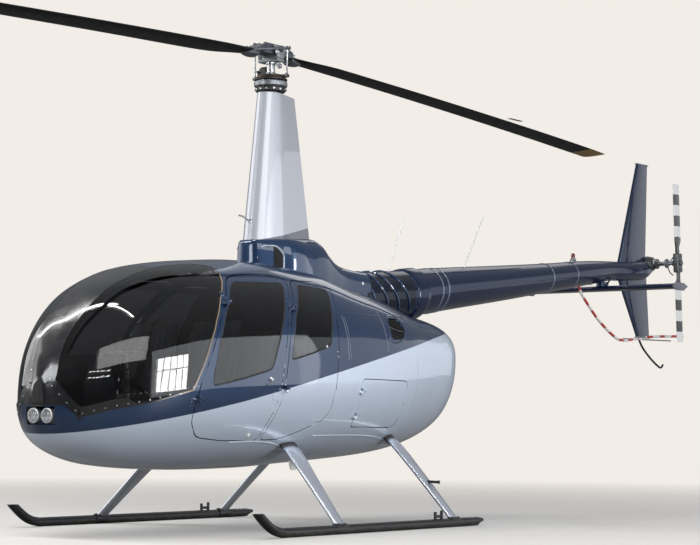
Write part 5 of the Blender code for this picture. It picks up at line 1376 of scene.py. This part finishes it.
# The turbine lies level in the bay behind the cabin: a cast compressor housing, a combustor can and
# an accessory case, with oil and fuel lines. The main gearbox is a ribbed casting under the mast tube.
engine = turned(((0.0, 0.0), (0.085, 0.0), (0.110, 0.02), (0.110, 0.05), (0.150, 0.07), (0.155, 0.13),
                 (0.115, 0.16), (0.105, 0.24), (0.130, 0.26), (0.130, 0.28), (0.100, 0.30), (0.100, 0.40),
                 (0.135, 0.43), (0.140, 0.50), (0.110, 0.55), (0.0, 0.565)), (0, 0.992, 1.02), "Y", 56)
block((-0.115, 0.115), (1.05, 1.38), (0.715, 0.90), 0.020, engine)
for x in (-0.17, 0.17):
    tube([(x * 0.7, 1.05, 1.10), (x, 1.15, 1.06), (x, 1.35, 1.04), (x * 0.7, 1.50, 1.08)], 0.016, 14, 6,
         engine)
bolted(engine, [(0.142 * math.cos(a), 1.122, 1.02 + 0.142 * math.sin(a))
                for a in np.linspace(0, 2 * math.pi, 16, False)], 0.008, 0.010, "Y")
piece(engine, "turbine_engine", "airframe", burnt, slot="engine_metal", replaces="engine_block", bevel=0.0015)
casing = turned(((0.0, 1.125), (0.110, 1.125), (0.125, 1.14), (0.125, 1.20), (0.150, 1.215), (0.150, 1.235),
                 (0.125, 1.25), (0.118, 1.44), (0.132, 1.455), (0.132, 1.475), (0.095, 1.50), (0.062, 1.60),
                 (0.055, 1.62), (0.055, 3.10), (0.0, 3.10)), (0, 0, 0), "Z", 48)
block((-0.09, 0.09), (0.08, 0.250), (1.20, 1.40), 0.020, casing)
for k in range(10):
    a = 2 * math.pi * (k + 0.5) / 10
    rib = block((0.118, 0.140), (-0.004, 0.004), (1.255, 1.45), 0.002)
    bmesh.ops.rotate(rib, verts=rib.verts, cent=(0, 0, 0), matrix=Matrix.Rotation(a, 3, "Z"))
    joined(rib, casing)
bolted(casing, ringed(16, 0.141, 1.235), 0.007, 0.008)
piece(casing, "main_gearbox_casing", "airframe", cast, slot="engine_metal", replaces="gearbox", bevel=0.0015)

# Inside, moulded and riveted boxes carry the seats, with lids on piano hinges and a latch each. The
# console carries six round dials with white marks and two radios with knobs.
trim = worn("cabin_trim", (0.055, 0.058, 0.064), (0.080, 0.083, 0.090), 0.62, scale=12.0, bump=0.4)
for node, (y0, y1) in {"front_seat_box": (-1.38, -0.96), "rear_seat_box": (-0.60, -0.172)}.items():
    base = block((-0.496, 0.496), (y0 + 0.006, y1 - 0.002), (0.622, 0.786), 0.012)
    block((-0.498, -0.006), (y0 + 0.002, y1 - 0.004), (0.786, 0.799), 0.004, base)
    block((0.006, 0.498), (y0 + 0.002, y1 - 0.004), (0.786, 0.799), 0.004, base)
    piece(base, node + "_shell", "airframe", trim, slot="cabin_plastic", replaces=node)
    metal = bmesh.new()
    for x in (-0.25, 0.25):
        turned(((0.0, 0.006), (0.010, 0.005), (0.012, 0.0), (0.0, 0.0)), (x, y0 + 0.005, 0.76),
               facing((0, -1, 0)), 20, metal)
        turned(((0.0, -0.20), (0.005, -0.20), (0.005, 0.20), (0.0, 0.20)), (x, y0 + 0.003, 0.784), "X", 12,
               metal)
    piece(metal, node + "_latches", "airframe", steel, slot="bare_steel")
CONSOLE = ((-1.99, 0.622), (-1.72, 0.622), (-1.735, 0.93), (-1.80, 1.12), (-1.98, 1.15), (-2.04, 0.95))
piece(cut_plate(CONSOLE, -0.136, 0.136, round_by=0.010), "console_shell", "airframe", trim,
      slot="cabin_plastic", replaces="instrument_console")
dial_black = worn("dial_black", (0.010, 0.010, 0.011), (0.015, 0.015, 0.016), 0.35)
PANEL_FOOT, PANEL_TOP = Vector((0, -1.735, 0.93)), Vector((0, -1.80, 1.12))
upward = (PANEL_TOP - PANEL_FOOT).normalized()
out = upward.cross(Vector((1, 0, 0))).normalized()
stand, across = facing(out), Matrix((Vector((1, 0, 0)), upward, out)).transposed().to_4x4()
rims, faces, marks = bmesh.new(), bmesh.new(), bmesh.new()
for column in range(3):
    for row in range(2):
        centre = PANEL_FOOT + Vector((-0.084 + 0.084 * column, 0, 0)) + upward * (0.052 + 0.092 * row)
        turned(((0.0, 0.006), (0.034, 0.006), (0.036, 0.0), (0.0, 0.0)), centre - out * 0.002, stand, 32,
               faces)
        turned(((0.034, 0.0), (0.035, 0.009), (0.038, 0.009), (0.040, 0.0), (0.034, 0.0)),
               centre - out * 0.002, stand, 32, rims)
        for k in range(12):
            tick = block((-0.0009, 0.0009), (0.025, 0.031), (0.0, 0.0006))
            bmesh.ops.transform(tick, matrix=Matrix.Translation(centre + out * 0.0042) @ across
                                @ Matrix.Rotation(k * math.pi / 6, 4, "Z"), verts=tick.verts)
            joined(tick, marks)
        hand = block((-0.0012, 0.0012), (-0.006, 0.024), (0.0008, 0.0016))
        bmesh.ops.transform(hand, matrix=Matrix.Translation(centre + out * 0.0042) @ across
                            @ Matrix.Rotation(2.2 - 0.8 * column - 0.5 * row, 4, "Z"), verts=hand.verts)
        joined(hand, marks)
for row in range(2):
    block((-0.085, 0.085), (-1.732, -1.722), (0.70 + 0.075 * row, 0.76 + 0.075 * row), 0.003, faces)
    bolted(rims, [(x, -1.722, 0.73 + 0.075 * row) for x in (-0.066, 0.066)], 0.011, 0.012,
           facing((0, 1, 0.05)))
piece(rims, "dial_rims", "airframe", satin_black, slot="black_paint", bevel=0.0006)
piece(faces, "dial_faces", "airframe", dial_black, slot="black_paint")
piece(marks, "dial_marks", "airframe", white, slot="white_paint")

# The cyclic stick rises between the front seats to a bar that tips over to either pilot, with rubber
# grips. Each pilot has a collective lever and two hung pedals.
stick = tube([(0, -1.47, 0.625), (0, -1.475, 0.90), (0, -1.50, 1.17)], 0.012, 16, 8)
turned(((0.0, 0.0), (0.038, 0.0), (0.036, 0.014), (0.020, 0.040), (0.014, 0.050), (0.0, 0.050)),
       (0, -1.47, 0.622), "Z", 32, stick)
tube([(-0.235, -1.49, 1.055), (-0.22, -1.50, 1.160), (-0.11, -1.50, 1.172), (0, -1.50, 1.177),
      (0.11, -1.50, 1.172), (0.22, -1.50, 1.160), (0.235, -1.49, 1.055)], 0.010, 16, 6, stick)
piece(stick, "cyclic_bar", "airframe", steel, slot="bare_steel", replaces="cyclic_stick")
COLLECTIVES, PEDALS = (-0.022, 0.518), (-0.36, -0.22, 0.22, 0.36)
grips = bmesh.new()
for side in (1, -1):
    tube([(side * 0.238, -1.488, 1.052, 0.012), (side * 0.236, -1.489, 1.075, 0.0175),
          (side * 0.230, -1.493, 1.110, 0.016), (side * 0.224, -1.498, 1.145, 0.0175),
          (side * 0.222, -1.499, 1.155, 0.012)], None, 20, 6, grips)
for x in COLLECTIVES:
    tube([(x, -1.30, 0.925, 0.012), (x, -1.34, 0.945, 0.019), (x, -1.42, 0.985, 0.018),
          (x, -1.44, 0.995, 0.010)], None, 20, 6, grips)
for x in PEDALS:
    block((x - 0.038, x + 0.038), (-1.822, -1.810), (0.700, 0.780), 0.004, grips)
piece(grips, "control_grips", "airframe", rubber, slot="black_paint")
levers = bmesh.new()
for x in COLLECTIVES:
    tube([(x, -0.95, 0.825), (x, -1.12, 0.850), (x, -1.34, 0.945)], 0.010, 14, 6, levers)
for x in PEDALS:
    tube([(x, -1.825, 0.740), (x, -1.870, 0.710), (x, -1.890, 0.630)], 0.008, 12, 5, levers)
piece(levers, "control_levers", "airframe", steel, slot="bare_steel")

# The seats are foam cushions in stitched leather. Each swells against its cover in a cloth simulation,
# then takes its sewn channels and a piped seam. The left front cushions are mirrored for the right.
leather, tree, shader = finish_of("seat_leather", (0.15, 0.155, 0.165), 0.55, Sheen_Weight=0.1)
cells = add(tree, "TexVoronoi", ("Vector", spot_of(tree)), ("Scale", 260.0)).node.outputs["Distance"]
worn_share = ramp(tree, speckle(tree, 7.0, 5.0), 0.4, 0.75)
feed(tree, shader, "Base Color", mixed(tree, worn_share, (0.135, 0.140, 0.150), (0.185, 0.190, 0.198)))
feed(tree, shader, "Roughness", ramp(tree, speckle(tree, 11.0), 0.3, 0.7, 0.46, 0.62))
bumped(tree, shader, sums(tree, cells, "ADD", speckle(tree, 90.0)), 0.25, 0.0012)
piping = worn("seat_piping", (0.035, 0.036, 0.040), (0.055, 0.056, 0.060), 0.5, scale=80.0, bump=0.2)


SWELL_FRAMES = 20


def stuffed(outline, low, high, voxel, reach):
    """A cushion from its side outline of (y, z) points between two x planes, swollen as cloth."""
    bm = cut_plate(outline, low, high, round_by=0.022)
    mesh = bpy.data.meshes.new("cushion")
    bm.to_mesh(mesh)
    bm.free()
    pad = bpy.data.objects.new("cushion", mesh)
    bpy.context.scene.collection.objects.link(pad)
    remesh = pad.modifiers.new("cells", "REMESH")
    remesh.mode, remesh.voxel_size = "VOXEL", voxel
    settled(pad)
    start = np.empty(len(pad.data.vertices) * 3)
    pad.data.vertices.foreach_get("co", start)
    cloth = pad.modifiers.new("swell", "CLOTH")
    cloth.settings.use_pressure, cloth.settings.uniform_pressure_force = True, 4.0
    cloth.settings.effector_weights.gravity = 0.0
    cloth.point_cache.frame_start, cloth.point_cache.frame_end = 1, SWELL_FRAMES
    for at in range(1, SWELL_FRAMES + 1):
        bpy.context.scene.frame_set(at)
    settled(pad)
    bpy.context.scene.frame_set(1)
    end = np.empty(len(start))
    pad.data.vertices.foreach_get("co", end)
    moved = (end - start).reshape(-1, 3)
    far = np.linalg.norm(moved, axis=1, keepdims=True)
    kept = start.reshape(-1, 3) + moved * np.minimum(1, reach / np.maximum(far, 1e-9))
    pad.data.vertices.foreach_set("co", kept.ravel())
    bm = bmesh.new()
    bm.from_mesh(pad.data)
    for _ in range(3):
        bmesh.ops.smooth_vert(bm, verts=bm.verts, factor=0.5, use_axis_x=True, use_axis_y=True,
                              use_axis_z=True)
    bpy.data.objects.remove(pad)
    return bm


def settled(pad):
    """Applies an object's modifiers to its mesh."""
    bpy.context.view_layer.update()
    made = bpy.data.meshes.new_from_object(pad.evaluated_get(bpy.context.evaluated_depsgraph_get()))
    pad.modifiers.clear()
    pad.data = made


def channelled(bm, lines, way, depth=0.005, spread=0.006):
    """Presses sewn channels at x positions into the faces that look along a direction."""
    bm.normal_update()
    way = Vector(way)
    for v in bm.verts:
        share = max(0.0, v.normal.dot(way)) ** 2
        if share > 0.05:
            sunk = sum(math.exp(-((v.co.x - line) / spread) ** 2) for line in lines)
            v.co -= way * (depth * share * min(1.0, sunk))
    return bm


def piped(bm, point, normal, radius=0.0035):
    """A piped seam round a cushion where a plane cuts it."""
    cut = bm.copy()
    found = bmesh.ops.bisect_plane(cut, geom=cut.verts[:] + cut.edges[:] + cut.faces[:], plane_co=point,
                                   plane_no=normal)
    loop = in_order([e for e in found["geom_cut"] if isinstance(e, bmesh.types.BMEdge)])
    points = np.array([v.co for v in loop[::3]])
    for _ in range(2):
        points = (np.roll(points, 1, 0) + 2 * points + np.roll(points, -1, 0)) / 4
    cut.free()
    ahead = np.roll(points, -1, 0) - np.roll(points, 1, 0)
    ahead /= np.linalg.norm(ahead, axis=1, keepdims=True)
    up = np.array(normal, float) / np.linalg.norm(normal)
    rows = []
    for p, run in zip(points, ahead):
        beside_it = np.cross(run, up)
        beside_it /= np.linalg.norm(beside_it)
        rows.append([p + radius * (math.cos(a) * up + math.sin(a) * beside_it)
                     for a in (2 * math.pi * k / 8 for k in range(8))])
    return skinned(rows, round_again=True)


def mirrored(bm):
    bmesh.ops.scale(bm, vec=(-1, 1, 1), verts=bm.verts)
    bmesh.ops.reverse_faces(bm, faces=bm.faces)


# Name: side outline, x from and to, voxel, channels' x, the way they face, seam's point and normal.
CUSHIONS = {
    "front_squab": (
        ((-1.365, 0.822), (-0.985, 0.822), (-0.985, 0.905), (-1.365, 0.900)), 0.070, 0.470, 0.0068,
        (0.17, 0.27, 0.37), (0, 0, 1), ((0, 0, 0.875), (0, 0.0, 1.0))),
    "front_back": (
        ((-1.040, 0.955), (-0.975, 0.835), (-0.958, 0.850), (-0.862, 1.405), (-0.915, 1.420)),
        0.070, 0.470, 0.0068,
        (0.12, 0.17, 0.22, 0.27, 0.32, 0.37, 0.42), (0, -1, 0.2), ((0, -0.955, 1.15), (0, -1.0, 0.175))),
    "rear_squab": (
        ((-0.585, 0.822), (-0.205, 0.822), (-0.205, 0.900), (-0.585, 0.892)), -0.540, 0.540, 0.0088,
        (-0.27, 0.0, 0.27), (0, 0, 1), ((0, 0, 0.868), (0, 0.0, 1.0))),
    "rear_back": (
        ((-0.290, 0.930), (-0.190, 0.930), (-0.190, 1.380), (-0.255, 1.380)), -0.540, 0.540, 0.0088,
        tuple(np.arange(-0.48, 0.49, 0.06)), (0, -1, 0.1), ((0, -0.235, 1.15), (0, -1.0, 0.05))),
}
seat_forms = {}
for name, (outline, low, high, voxel, lines, way, (point, normal)) in CUSHIONS.items():
    bm = stuffed(outline, low, high, voxel, 0.012)
    bmesh.ops.subdivide_edges(bm, edges=bm.edges[:], cuts=1, use_grid_fill=True, smooth=0.6)
    channelled(bm, lines, way)
    seat_forms[name] = BVHTree.FromBMesh(bm)
    seam_bm = piped(bm, point, normal)
    for side, label in SIDES if name.startswith("front") else ((1, ""),):
        node = f"front_seat_{label}" if label else "rear_seat"
        own, own_seam = bm.copy(), seam_bm.copy()
        if side < 0:
            mirrored(own)
            mirrored(own_seam)
        tag = f"{name}_{label}" if label else name
        pad = piece(own, f"cushion_{tag}", "airframe", leather, slot="seat_leather", replaces=node, angle=80)
        piece(own_seam, f"piping_{tag}", "airframe", piping, slot="seat_leather", angle=80)
    bm.free()
    seam_bm.free()

# Woven lap and shoulder belts lie over each seat's cushions, with a steel buckle on the lap belt. Each
# is a flat strap that follows the swollen leather under it.
webbing, tree, shader = finish_of("belt_webbing", (0.030, 0.031, 0.034), 0.75, Sheen_Weight=0.3)
weave = add(tree, "TexWave", ("Vector", spot_of(tree)), ("Scale", 140.0), ("Distortion", 0.4),
            bands_direction="DIAGONAL")
feed(tree, shader, "Base Color", mixed(tree, weave, (0.024, 0.025, 0.028), (0.042, 0.043, 0.047)))
bumped(tree, shader, weave, 0.5, 0.0008)


BELT_HALF_WIDTH, BELT_HALF_THICK = 0.023, 0.0008


def belt(path, across, name):
    path = curved(path, 6)
    across = np.array(across, float)
    ahead = np.gradient(path, axis=0)
    rows = []
    for p, run in zip(path, ahead):
        lift = np.cross(run, across)
        lift /= np.linalg.norm(lift)
        rows.append([p + across * (u * BELT_HALF_WIDTH) + lift * (h * BELT_HALF_THICK)
                     for u, h in ((-1, 1), (1, 1), (1, -1), (-1, -1))])
    piece(skinned(rows), name, "airframe", webbing, slot="seat_leather", angle=60)


def over(form, origin, way, lift=0.004):
    hit = seat_forms[form].ray_cast(Vector(origin), Vector(way).normalized())[0]
    return tuple(hit - Vector(way).normalized() * lift)


def to_side(points, side):
    return [(side * x, y, z) for x, y, z in points]


for side, label in SIDES:
    rising = [over("front_back", (0.27 + 0.05 * t, -1.40, 1.39 - 0.40 * t), (0, 1, 0))
              for t in np.linspace(0, 1, 6)]
    belt(to_side([(0.27, -0.868, 1.438)] + rising, side), (1, 0, 0), f"shoulder_belt_front_{label}")
    lap = [over("front_squab", (x, -1.10, 1.2), (0, 0, -1)) for x in np.linspace(0.10, 0.44, 8)]
    belt(to_side(lap, side), (0, 1, 0), f"lap_belt_front_{label}")
    lap = [over("rear_squab", (x, -0.36, 1.2), (0, 0, -1)) for x in np.linspace(0.06, 0.50, 8)]
    belt(to_side(lap, side), (0, 1, 0), f"lap_belt_rear_{label}")
    rising = [over("rear_back", (0.29, -0.60, z), (0, 1, 0)) for z in np.linspace(1.36, 0.98, 6)]
    belt(to_side([(0.29, -0.20, 1.398)] + rising, side), (1, 0, 0), f"shoulder_belt_rear_{label}")
    buckles = bmesh.new()
    for name, x, y in (("front_squab", 0.24, -1.10), ("rear_squab", 0.26, -0.36)):
        at = over(name, (x, y, 1.2), (0, 0, -1), 0.007)
        block((side * x - 0.030, side * x + 0.030), (y - 0.026, y + 0.026), (at[2] - 0.001, at[2] + 0.008),
              0.003, buckles)
    piece(buckles, f"belt_buckles_{label}", "airframe", steel, slot="bare_steel")
